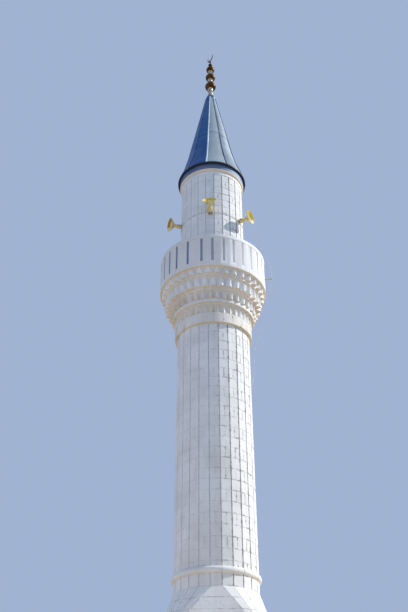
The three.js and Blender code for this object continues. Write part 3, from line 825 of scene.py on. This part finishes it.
def build_rings():
    shape = Shape(15)
    collar = worn(rectangle(RING_INSIDE, COLLAR_RADIUS, COLLAR_BOTTOM, COLLAR_TOP), 0.007)
    ring_course(shape, collar, FACES, chamfer=0.0015, gap=0.0006)
    shape.make("collar_stones", [LIMEWASH_COLLAR], ["collar_ring"])
    low, high = heights("lower_ring")
    bulge = reach_of("lower_ring") - SHAFT_APOTHEM
    foot, middle = SHAFT_APOTHEM + BEAD_FOOT, lerp(low, high, 0.5)
    round_face = arc(foot, middle, bulge - BEAD_FOOT, (high - low) / 2, -90, 90, 12)
    bead = Shape(16)
    ring_course(bead, [(RING_INSIDE, low), *round_face, (RING_INSIDE, high)], FACES // 2, FACE_ANGLE / 2)
    bead.make("lower_ring_stones", [LIMEWASH_BEAD], ["lower_ring"])


RIB_RADII = {1: 1.160, 3: 1.305, 4: 1.475, 5: 1.585}
CARVED_EDGE = 0.006


def build_balcony():
    for k in range(1, 6):
        radius = RIB_RADII.get(k)
        softened(f"corbel_tier_{k}", f"corbel_stones_{k}", CARVED_EDGE, LIMEWASH_CARVED, radius)
    for side in SIDES:
        softened(f"parapet_{side}", f"parapet_stones_{side}", CARVED_EDGE, LIMEWASH_PARAPET)
    shape = Shape(17)
    low, high = BALCONY_FLOOR - 0.02, BALCONY_FLOOR + 0.005
    slab = rectangle(UPPER_APOTHEM + 0.016, PARAPET_INSIDE, low, high)
    ring_course(shape, worn(slab, 0.002), 18, 7)
    shape.make("balcony_slabs", [LIMEWASH])
    paint(PLASTER, "balcony_", ["floor"])


# Cornice under the eave: plain fillet, hollow moulding and a lead-covered fascia
FASCIA_BOTTOM = 20.245
SPLAY_BOTTOM = 20.155
HOLLOW = 0.055
MOULDING_INSIDE = UPPER_APOTHEM - 0.015
LIP_HALF = 0.030
ROUND_STEPS = 96
SEAMS = 10
FIRST_SEAM = -8.8
SEAM_ANGLE = 360 / SEAMS


def well_radius(azimuth):
    return UPPER_WELL / cos_of((azimuth + 22.5) % 45 - 22.5)


def swept_round(shape, section, slot=0):
    """A closed section, which may change with the azimuth, swept all the way round."""
    rings = []
    for k in range(ROUND_STEPS):
        azimuth = 360 * k / ROUND_STEPS
        rings.append(shape.ring([polar(radius, azimuth, height) for radius, height in section(azimuth)]))
    for k, ring in enumerate(rings):
        shape.band(rings[k - 1], ring, 0.5, slot)


def build_cornice():
    shape = Shape(18)
    low, high = heights("upper_cornice")
    radius = reach_of("upper_cornice")
    splay = arc(radius - HOLLOW, FASCIA_BOTTOM, HOLLOW, FASCIA_BOTTOM - SPLAY_BOTTOM, -90, 0, 6)

    def section(azimuth):
        well = well_radius(azimuth)
        inner = [(well, low), (MOULDING_INSIDE, low), (MOULDING_INSIDE, SPLAY_BOTTOM)]
        return inner + splay + [(radius - 0.004, high), (well, high)]

    swept_round(shape, section, 2)
    fillet = rectangle(MOULDING_INSIDE, radius - 0.052, FILLET_BOTTOM, SPLAY_BOTTOM - 0.002)
    ring_course(shape, worn(fillet, 0.004), FACES // 2, UPPER_TURN)
    fascia = rectangle(radius - 0.012, radius + 0.002, FASCIA_BOTTOM - 0.006, high + 0.004)
    ring_course(shape, worn(fascia, 0.003), SEAMS, FIRST_SEAM, 1, 9, 0.001)
    materials = [LIMEWASH, LEAD_FASCIA, LIMEWASH_MOULDED]
    shape.make("cornice_mouldings", materials, ["upper_cornice"])
    middle, half_high = lerp(EAVE_BOTTOM, EAVE_TOP, 0.5), (EAVE_TOP - EAVE_BOTTOM) / 2
    lip = arc(EAVE_RADIUS - LIP_HALF, middle, LIP_HALF, half_high, 0, 330, 11)
    edge = Shape(19)
    swept_round(edge, lambda azimuth: lip)
    edge.make("eave_roll", [DARK_EDGE], ["eave_edge"], 60)


# Spire: lead sheets between rolls over the cone
SPIRE_PROFILE = [
    (1.130, 20.515), (1.090, 20.640), (1.030, 20.800), (0.925, 21.120), (0.790, 21.670), (0.160, 24.950),
]
LAP = 22.40
LAP_SHIFT = 0.05
SHEET_LIFT = 0.002
LAP_LIFT = 0.004
SHEET_BACK = 0.010
WAVE = 0.0030
WAVE_SCALE = 2.4
COLUMNS = 8
# The lead of each bay from the front seam on, as copies drawn for the light: 0 blue, painted shade and sky
# reflection; 1 pale, painted sheen; 2 grey, painted sunlight
BAY_LEADS = [1, 2, 2, 2, 0, 0, 0, 0, 0, 0]


def spire_radius(height):
    for (low_radius, low), (high_radius, high) in zip(SPIRE_PROFILE, SPIRE_PROFILE[1:]):
        if height <= high:
            return lerp(low_radius, high_radius, max(0.0, (height - low) / (high - low)))
    return SPIRE_PROFILE[-1][0]


def sheet(shape, slot, start, end, low, high, rows):
    """A lead sheet on the cone, a little lifted at its lower edge, with the waves of hand work."""
    tone = shape.random.random()
    seed = shape.random.uniform(0, 40)
    outside, inside = [], []
    for share, height in zip(evenly(0, 1, rows), evenly(low, high, rows)):
        flat = spire_radius(height)
        lift = SHEET_LIFT + LAP_LIFT * (1 - share)
        for azimuth in evenly(start, end, COLUMNS):
            wave = noise.noise(polar(flat * WAVE_SCALE, azimuth, height * WAVE_SCALE + seed))
            outside.append(polar(flat + lift + WAVE * wave, azimuth, height))
            inside.append(polar(flat - SHEET_BACK, azimuth, height))
    front, back = shape.ring(outside), shape.ring(inside)
    across = COLUMNS + 1
    for corner in front[:across]:
        shape.joints[corner] = 1.0
    for row in range(rows):
        for k in range(row * across, row * across + COLUMNS):
            corners = (k, k + 1, k + 1 + across, k + across)
            shape.face([front[corner] for corner in corners], tone, slot)
            shape.face([back[corner] for corner in corners[::-1]], tone, slot)
    last = rows * across
    rim = list(range(COLUMNS)) + [COLUMNS + row * across for row in range(rows)]
    rim += [last + COLUMNS - k for k in range(COLUMNS)] + [last - row * across for row in range(rows)]
    for a, b in zip(rim, rim[1:] + rim[:1]):
        shape.face([back[a], back[b], front[b], front[a]], tone, slot)


def tube(shape, path, normal, widths, sides, slot):
    """A closed tube along a path. Its section is an ellipse: (across, along the normal)."""
    rings = []
    for k, (point, (across, deep)) in enumerate(zip(path, widths)):
        ahead = (path[min(k + 1, len(path) - 1)] - path[max(k - 1, 0)]).normalized()
        out = (normal - ahead * normal.dot(ahead)).normalized()
        aside = ahead.cross(out)
        rings.append(shape.ring([
            point + aside * across * math.cos(turn) + out * deep * math.sin(turn)
            for turn in full_turn(sides)
        ]))
    shape.loft(rings, slot=slot)


def full_turn(count):
    return [2 * math.pi * k / count for k in range(count)]


def turned(shape, profile, segments, place=None, slots=0, closed=False):
    """A turned form about the place's own Z: profile points are (radius, along)."""
    place = place or Matrix.Identity(4)
    rings = []
    for radius, along in profile:
        points = [(radius * math.cos(turn), radius * math.sin(turn), along) for turn in full_turn(segments)]
        rings.append(shape.ring([place @ Vector(point) for point in points]))
    if closed:
        rings.append(rings[0])
    if isinstance(slots, int):
        slots = [slots] * len(rings)
    for one, other, slot in zip(rings, rings[1:], slots):
        shape.band(one, other, 0.5, slot)


SEAM_GAP = 0.4
ROLL_FOOT = (0.026, 0.023)
ROLL_TOP = (0.015, 0.015)
KNOB = [(0, -0.022), (0.014, -0.018), (0.021, 0), (0.014, 0.018), (0, 0.022)]


def build_spire():
    shape = Shape(20)
    rolls = Shape(21)
    top = SPIRE_PROFILE[-1][1] - 0.06
    levels = divide(EAVE_TOP - 0.028, top - 0.02, 0.12)
    shares = [k / len(levels) for k in range(len(levels))]
    widths = [[lerp(foot, tip, share) for foot, tip in zip(ROLL_FOOT, ROLL_TOP)] for share in shares]
    for bay, slot in enumerate(BAY_LEADS):
        start = FIRST_SEAM + bay * SEAM_ANGLE
        lap = LAP + LAP_SHIFT * (-1 if bay % 2 else 1)
        for low, high, rows in (EAVE_TOP - 0.01, lap, 22), (lap - 0.02, top, 14):
            sheet(shape, slot, start + SEAM_GAP, start + SEAM_ANGLE - SEAM_GAP, low, high, rows)
        path = [polar(spire_radius(level) + 0.007, start, level) for level in levels]
        # The roll at the front seam takes the pale copy: painted highlight
        tube(rolls, path, radial(start), widths, 12, int(bay == 0))
        turned(rolls, KNOB, 12, Matrix.Translation(polar(spire_radius(top) + 0.014, start, top - 0.02)))
    cap = [
        (0.150, top - 0.05), (0.188, top - 0.05), (0.192, top - 0.03), (0.176, top + 0.035),
        (0.152, SPIRE_TIP - 0.02), (0.138, SPIRE_TIP + 0.004), (0.118, SPIRE_TIP + 0.008),
        (0.100, SPIRE_TIP - 0.02),
    ]
    turned(rolls, cap, 40, closed=True)
    shape.make("spire_sheets", [LEAD_SHADED, LEAD_SHEEN, LEAD_SUNLIT], smooth=40)
    rolls.make("spire_rolls", [LEAD_ROLL, LEAD_ROLL_HIGHLIGHT], smooth=50)
    paint(LEAD_SHADED, "spire_", ["roof"])


# Finial and crescent
BULBS = [
    (25.612, 0.205, 0.175, 0.090),
    (26.130, 0.183, 0.170, 0.072),
    (26.590, 0.157, 0.150, 0.040),
    (26.880, 0.076, 0.070, 0.032),
]


def bulb(level, radius, half, neck):
    """A turned ball with a fine raised line round its middle."""
    reach = math.degrees(math.acos(neck / radius))
    points = arc(0, level, radius, half, -reach, reach, 20)
    seam = [(radius, level - 0.006), (radius + 0.0015, level - 0.003), (radius + 0.0015, level + 0.003),
            (radius, level + 0.006)]
    return points[:10] + seam + points[11:]


def neck_ring(level, radius):
    """A moulded ring where two bulbs meet."""
    return [(radius * 0.86, level - 0.014), (radius + 0.012, level - 0.009), (radius + 0.016, level),
            (radius + 0.012, level + 0.009), (radius * 0.86, level + 0.014)]


NECK_SHARE = 0.62
LAST_NECK = 26.80


def neck_slot(radius, level, other_radius, other_level):
    """1 where a stretch of the finial is a neck, 0 where it is a bulb or the tip."""
    nearest = min(BULBS, key=lambda values: abs(values[0] - (level + other_level) / 2))
    return int(level < LAST_NECK and max(radius, other_radius) < NECK_SHARE * nearest[1])


def build_finial():
    shape = Shape(22)
    low, high = heights("finial")
    profile = [(0, low), (0.120, low), (0.126, low + 0.012), (0.120, low + 0.026), (0.104, low + 0.05),
               (0.096, low + 0.12), (0.098, low + 0.20)]
    profile += neck_ring(low + 0.30, 0.090)
    for k, values in enumerate(BULBS):
        profile += bulb(*values)
        level, _, half, neck = values
        if k + 1 < len(BULBS):
            after = BULBS[k + 1]
            meet = lerp(level + half, after[0] - after[2], 0.5)
            profile += neck_ring(meet, min(neck, after[3]) + 0.006)
    profile += [(0.026, high - 0.07), (0.034, high - 0.05), (0.024, high - 0.03), (0.022, high), (0, high)]
    slots = [neck_slot(*one, *other) for one, other in zip(profile, profile[1:])]
    turned(shape, profile, 48, slots=slots)
    shape.make("finial_bulbs", [BRASS, NECK_METAL], ["finial"], 40)


CRESCENT_LEVEL = 27.295
CRESCENT_RADIUS = 0.175
CRESCENT_HALF = 0.012
CRESCENT_TURN = -55
BITE_RADIUS = 0.142
BITE_OFFSET = 0.042
TIP_FROM_TOP = 40


def build_crescent():
    """A crescent with rounded rims, set on the finial's tip."""
    shape = Shape(23)
    start = 90 - TIP_FROM_TOP
    tip = Vector((CRESCENT_RADIUS * cos_of(start), CRESCENT_RADIUS * sin_of(start)))
    bite_end = math.degrees(math.atan2(tip.y - BITE_OFFSET, tip.x))
    turn = Matrix.Rotation(math.radians(CRESCENT_TURN), 3, "Z")
    rings = []
    for share in evenly(0, 1, 48):
        outer_angle = lerp(start, TIP_FROM_TOP - 270, share)
        inner_angle = lerp(bite_end, -180 - bite_end, share)
        outer = Vector((cos_of(outer_angle), sin_of(outer_angle))) * CRESCENT_RADIUS
        inner = Vector((cos_of(inner_angle), sin_of(inner_angle))) * BITE_RADIUS
        inner.y += BITE_OFFSET
        middle = (outer + inner) / 2
        across = (outer - inner) / 2
        points = []
        for angle in range(0, 360, 30):
            flat = middle + across * cos_of(angle)
            depth = CRESCENT_HALF * sin_of(angle) * min(1.0, 0.25 + across.length / 0.02)
            points.append(turn @ Vector((flat.x, depth, flat.y)) + UP * CRESCENT_LEVEL)
        rings.append(shape.ring(points))
    shape.loft(rings, flipped=True)
    shape.make("crescent_top", [BRASS], ["crescent"], 50)


# Loudspeakers
# Bolted face, place of the driver's back (azimuth, radius, height), direction and tilt of the
# mouth, and height of the cable that passes
HORNS = {
    "front": (-3.75, -3, 1.086, 18.333, -3, 33, 18.380),
    "right": (56.25, 59.5, 1.064, 18.375, 59.5, 0, 18.328),
    "back": (176.25, 176.25, 1.061, 18.366, 176.25, 5, 18.320),
    "left": (-78.75, -77, 1.060, 18.420, -67, -4, 18.368),
}
HORN_LENGTH = 0.385
# Radius and distance from the mouth: driver, throat and flare, then the rim and back inside
HORN_OUTSIDE = [
    (0, -0.385), (0.058, -0.385), (0.069, -0.381), (0.072, -0.371), (0.072, -0.334), (0.0748, -0.330),
    (0.0748, -0.314), (0.072, -0.310), (0.072, -0.258), (0.067, -0.247), (0.051, -0.241), (0.048, -0.225),
    (0.055, -0.194), (0.068, -0.165), (0.090, -0.136), (0.118, -0.108), (0.149, -0.081), (0.180, -0.055),
    (0.206, -0.031), (0.2205, -0.016),
]
HORN_RIM = [(0.2255, -0.0125), (0.2285, -0.008), (0.2285, -0.002), (0.2250, 0.0015), (0.2205, -0.0005)]
HORN_INSIDE = [
    (0.2175, -0.0055), (0.198, -0.019), (0.172, -0.042), (0.141, -0.068), (0.110, -0.096),
    (0.082, -0.124), (0.060, -0.155), (0.048, -0.188), (0, -0.188),
]
BULLET = [
    (0, -0.064), (0.014, -0.066), (0.026, -0.074), (0.033, -0.088), (0.034, -0.142), (0.028, -0.184),
    (0, -0.186),
]
PLATE_HALF = 0.06
PLATE_THICK = 0.012
PLATE_SHIFT = 0.030
PLATE_SEAT = 0.0005
ARM_HALF = 0.020
ARM_SEAT = 0.006
ARM_BACK = 0.026
BOLT_SPREAD = 0.044
STRAP = [
    (-0.080, -0.292), (-0.080, -0.385), (-0.074, -0.402), (-0.058, -0.410), (0.058, -0.410),
    (0.074, -0.402), (0.080, -0.385), (0.080, -0.292),
]
STRAP_HALF = 0.019
STRAP_THICK_HALF = 0.0025
PIVOT = (0.0825, -0.315)


def box_bar(shape, place, low, high, chamfer, slot=0):
    """A straight bar with chamfered edges, from one corner to the other in the place's frame."""
    outline = worn(rectangle(low[0], high[0], low[1], high[1]), chamfer)
    middle = Vector(((low[0] + high[0]) / 2, (low[1] + high[1]) / 2))
    wide, tall = (high[0] - low[0]) / 2, (high[1] - low[1]) / 2
    shrink = Vector((1 - chamfer / wide, 1 - chamfer / tall))
    drawn = [
        (middle.x + (x - middle.x) * shrink.x, middle.y + (y - middle.y) * shrink.y)
        for x, y in outline
    ]
    sections = (
        (drawn, low[2]), (outline, low[2] + chamfer), (outline, high[2] - chamfer), (drawn, high[2]),
    )
    rings = [shape.ring([place @ Vector((x, y, level)) for x, y in form]) for form, level in sections]
    shape.loft(rings, slot=slot)


def bolt(shape, place, radius, slot=0):
    """A washer and a six-sided head along the place's Z."""
    washer = [(0, 0), (radius * 1.7, 0), (radius * 1.7, 0.002), (0, 0.002)]
    height = radius * 0.85
    head = [(0, 0.001), (radius, 0.001), (radius, radius * 0.7), (radius * 0.8, height), (0, height)]
    turned(shape, washer, 16, place, slot)
    turned(shape, head, 6, place, slot)


def facing(place, towards, up=UP):
    """A frame at a place whose Z looks along a direction and whose Y is as near up as it can be."""
    ahead = towards.normalized()
    aside = up.cross(ahead).normalized()
    true_up = ahead.cross(aside)
    frame_matrix = Matrix((aside, true_up, ahead)).transposed().to_4x4()
    return Matrix.Translation(place) @ frame_matrix


CREAM_SLOT, MOUTH_SLOT, BRACKET_SLOT, BOLT_SLOT = range(4)
MOUTH_SEGMENTS = 56
MUSTARD_FROM = 0.125
MUSTARD_FULL = 0.155


def shaded_mustard_share(radius, turn):
    """How mustard the enamel inside a horn is: near the rim, in its upper half, where the inside lies in
    shade: painted shade, with the pale enamel below standing for the lit part.
    """
    outer = (radius - MUSTARD_FROM) / (MUSTARD_FULL - MUSTARD_FROM)
    upper = 0.3 + 2.5 * math.sin(turn)
    return max(0.0, min(1.0, outer)) * max(0.0, min(1.0, upper))


def build_horn(side, face, at, out, level, aim, tilt, cable):
    shape = Shape(30)
    ahead = direction(aim, tilt)
    place = facing(polar(out, at, level) + ahead * HORN_LENGTH, ahead)
    profile = HORN_OUTSIDE + HORN_RIM + HORN_INSIDE
    rim_end = len(HORN_OUTSIDE) + len(HORN_RIM) - 1
    slots = [CREAM_SLOT if k < rim_end else MOUTH_SLOT for k in range(len(profile) - 1)]
    turned(shape, profile, MOUTH_SEGMENTS, place, slots)
    # The mustard inside the mouth is painted shade, carried in the joint attribute
    for k in range(rim_end, len(profile)):
        for n, turn in enumerate(full_turn(MOUTH_SEGMENTS)):
            shape.joints[k * MOUTH_SEGMENTS + n] = shaded_mustard_share(profile[k][0], turn)
    turned(shape, BULLET, 28, place)
    bent_strap(shape, place)
    axes = place.to_3x3()
    for turn in (-1, 1):
        pivot = place @ Vector((turn * PIVOT[0], 0, PIVOT[1]))
        bolt(shape, facing(pivot, axes @ Vector((turn, 0, 0)), axes @ UP), 0.009, BOLT_SLOT)
    aside = out * sin_of(at - face)
    middle = level + PLATE_SHIFT * (1 if level > cable else -1)
    front = PLATE_SEAT + PLATE_THICK
    arm_end = out - ARM_BACK * cos_of(tilt) - UPPER_APOTHEM + ARM_SEAT
    wall = facing(radial(face) * UPPER_APOTHEM, radial(face))
    for half, height, start, end, chamfer in (
        (PLATE_HALF, middle, PLATE_SEAT, front, 0.002), (ARM_HALF, level, ARM_SEAT, arm_end, 0.003),
    ):
        low, high = (aside - half, height - half, start), (aside + half, height + half, end)
        box_bar(shape, wall, low, high, chamfer, BRACKET_SLOT)
    for x, y in rectangle(-BOLT_SPREAD, BOLT_SPREAD, -BOLT_SPREAD, BOLT_SPREAD):
        corner = wall @ Vector((aside + x, middle + y, front))
        bolt(shape, facing(corner, radial(face)), 0.007, BOLT_SLOT)
    materials = [CREAM, MOUTH_SHADED_ORANGE if side == "left" else MOUTH, BRACKET_PAINT, ZINC]
    shape.make(f"loudspeaker_horn_{side}", materials, [f"loudspeaker_{side}"], 35)


def bent_strap(shape, place):
    """A flat bar bent round the driver, in the place's XZ plane."""
    rings = []
    for k, (x, z) in enumerate(STRAP):
        before, after = Vector(STRAP[max(k - 1, 0)]), Vector(STRAP[min(k + 1, len(STRAP) - 1)])
        ahead = (after - before).normalized()
        thick = Vector((-ahead.y, ahead.x)) * STRAP_THICK_HALF
        corners = [(x + a * thick.x, b * STRAP_HALF, z + a * thick.y) for a, b in rectangle(-1, 1, -1, 1)]
        rings.append(shape.ring([place @ Vector(corner) for corner in corners]))
    shape.loft(rings, slot=BRACKET_SLOT)


# Cables
def smooth_path(points, steps):
    """The centripetal curve through some points, as a close row of points."""
    ends = [points[0] * 2 - points[1]] + points + [points[-1] * 2 - points[-2]]
    path = [points[0]]
    for a, b, c, d in zip(ends, ends[1:], ends[2:], ends[3:]):
        first, second, third = ((q - p).length ** 0.5 for p, q in ((a, b), (b, c), (c, d)))
        leave = ((b - a) / first - (c - a) / (first + second) + (c - b) / second) * second
        arrive = ((c - b) / second - (d - b) / (second + third) + (d - c) / third) * second
        for k in range(1, steps + 1):
            t = k / steps
            path.append(
                b + leave * t + (c * 3 - b * 3 - leave * 2 - arrive) * t ** 2
                + (b * 2 - c * 2 + leave + arrive) * t ** 3
            )
    return path


def cable_curve(name, path, diameter, material, replaced):
    """A cable along a path, in place of its node."""
    data = bpy.data.curves.new(name, "CURVE")
    data.dimensions = "3D"
    data.bevel_depth = diameter / 2
    data.bevel_resolution = 3
    data.use_fill_caps = True
    spline = data.splines.new("POLY")
    spline.points.add(len(path) - 1)
    for point, place in zip(spline.points, path):
        point.co = (*place, 1)
    data.materials.append(material)
    return riding(name, data, [replaced])


LEAD_DIAMETER = 0.012
LEAD_TOP_AZIMUTH = 86.25
LEAD_TIP_AZIMUTH = 84.5
LEAD_FOOT_AZIMUTH = 90
LEAD_TO_TIP = [
    (1.040, 19.390), (1.110, 19.060), (1.200, 18.680), (1.320, 18.300), (1.460, 17.920),
    (1.600, 17.560), (1.715, 17.240), (1.795, 16.940), (1.848, 16.620), (1.862, 16.290),
]
LEAD_FROM_TIP = [
    (1.822, 16.050), (1.745, 15.790), (1.655, 15.520), (1.568, 15.260), (1.486, 15.010),
    (1.410, 14.730), (1.338, 14.360), (1.272, 13.970), (1.218, 13.580), (1.176, 13.190),
    (1.142, 12.840), (1.108, 12.600), (1.080, 12.440),
]


def build_down_lead():
    turns = evenly(LEAD_TOP_AZIMUTH, LEAD_TIP_AZIMUTH, len(LEAD_TO_TIP) - 1)
    turns += evenly(LEAD_TIP_AZIMUTH, LEAD_FOOT_AZIMUTH, len(LEAD_FROM_TIP))[1:]
    route = LEAD_TO_TIP + LEAD_FROM_TIP
    points = [polar(out, turn, height) for (out, height), turn in zip(route, turns)]
    path = smooth_path(points, 5)
    piece = cable_curve("down_lead_cable", path, LEAD_DIAMETER, SHEATH, "down_lead")


CABLE_DIAMETER = 0.014
CABLE_STAND = 0.0175
CABLE_SAG = 0.018
CABLE_ENDS = (-178.75, 171.25)
CABLE_PARTS = 35
CLIP_LOW = (-0.006, -0.011, -0.004)
CLIP_HIGH = (0.006, 0.011, CABLE_STAND + 0.010)


def cable_height(azimuth):
    """The speaker cable's height: held at each horn and a little lower between them."""
    back = HORNS["back"][-1]
    stops = [(CABLE_ENDS[0], back)]
    stops += [(HORNS[side][1], HORNS[side][-1]) for side in ("left", "front", "right")]
    stops.append((CABLE_ENDS[1], back))
    for (start, low), (end, high) in zip(stops, stops[1:]):
        if azimuth <= end + WELD:
            share = (azimuth - start) / (end - start)
            return lerp(low, high, share) - CABLE_SAG * math.sin(math.pi * share)
    return back


def build_speaker_cable():
    radius = UPPER_APOTHEM + CABLE_STAND
    azimuths = evenly(*CABLE_ENDS, CABLE_PARTS)
    path = smooth_path([polar(radius, azimuth, cable_height(azimuth)) for azimuth in azimuths], 3)
    cable_curve("speaker_cable_run", path, CABLE_DIAMETER, SPEAKER_SHEATH, "speaker_cable")
    shape = Shape(40)
    for k in range(FACES):
        azimuth = UPPER_TURN + k * FACE_ANGLE
        if azimuth > 180:
            azimuth -= 360
        if CABLE_ENDS[0] < azimuth < CABLE_ENDS[1]:
            place = facing(radial(azimuth) * UPPER_APOTHEM + UP * cable_height(azimuth), radial(azimuth))
            box_bar(shape, place, CLIP_LOW, CLIP_HIGH, 0.002)
    shape.make("speaker_cable_clips", [ZINC])


TIE = [(0.0275, -0.002), (0.0285, -0.001), (0.0285, 0.001), (0.0275, 0.002), (0.0190, 0.0)]
TIE_STEP = 0.0045
# Where the turns of wire round the stand-off begin, and how many there are
TIES = ((1.838, 3), (1.668, 2))


def build_holders():
    softened("lead_stand_off", "lead_stick", 0.003, WOOD)
    shape = Shape(41)
    square = Matrix.Rotation(math.radians(45), 4, "Z")
    out_along = radial(LEAD_TIP_AZIMUTH)
    for out, turns in TIES:
        for turn in range(turns):
            place = polar(out + TIE_STEP * turn, LEAD_TIP_AZIMUTH, LEAD_TO_TIP[-1][1])
            turned(shape, TIE, 4, facing(place, out_along) @ square, closed=True)
    shape.make("lead_stick_ties", [ZINC])
    screws = Shape(42)
    for end, azimuth, depth in (("lower", LEAD_FOOT_AZIMUTH, 0.015), ("upper", LEAD_TOP_AZIMUTH, 0.021)):
        softened(f"lead_clip_{end}", f"lead_saddle_{end}", 0.004, SHEATH)
        low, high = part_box(f"lead_clip_{end}")
        out = ((low + high) / 2).xy.length
        for share in (0.28, 0.72):
            place = polar(out + depth, azimuth, lerp(low.z, high.z, share))
            bolt(screws, facing(place, radial(azimuth)), 0.005)
    screws.make("lead_saddle_screws", [ZINC])


# Floor
FLOOR_RADIUS = 20


def build_floor():
    s = Surface("floor", 0.9)
    colour = s.blotch((222, 208, 188), (206, 192, 172), 0.35, 4, 0.35, 0.7)
    mesh = bpy.data.meshes.new("ground")
    mesh.from_pydata([polar(FLOOR_RADIUS, 5 * k, 0) for k in range(72)], [], [list(range(72))])
    mesh.materials.append(s.finished(colour, None, (4, 3, 0.004)))
    ground = linked("ground", mesh)


build_down_lead()
build_speaker_cable()
build_holders()
build_base()
build_shoe()
build_shaft()
build_rings()
build_balcony()
build_upper_wall()
build_cornice()
build_spire()
build_finial()
build_crescent()
for side, values in HORNS.items():
    build_horn(side, *values)
build_floor()
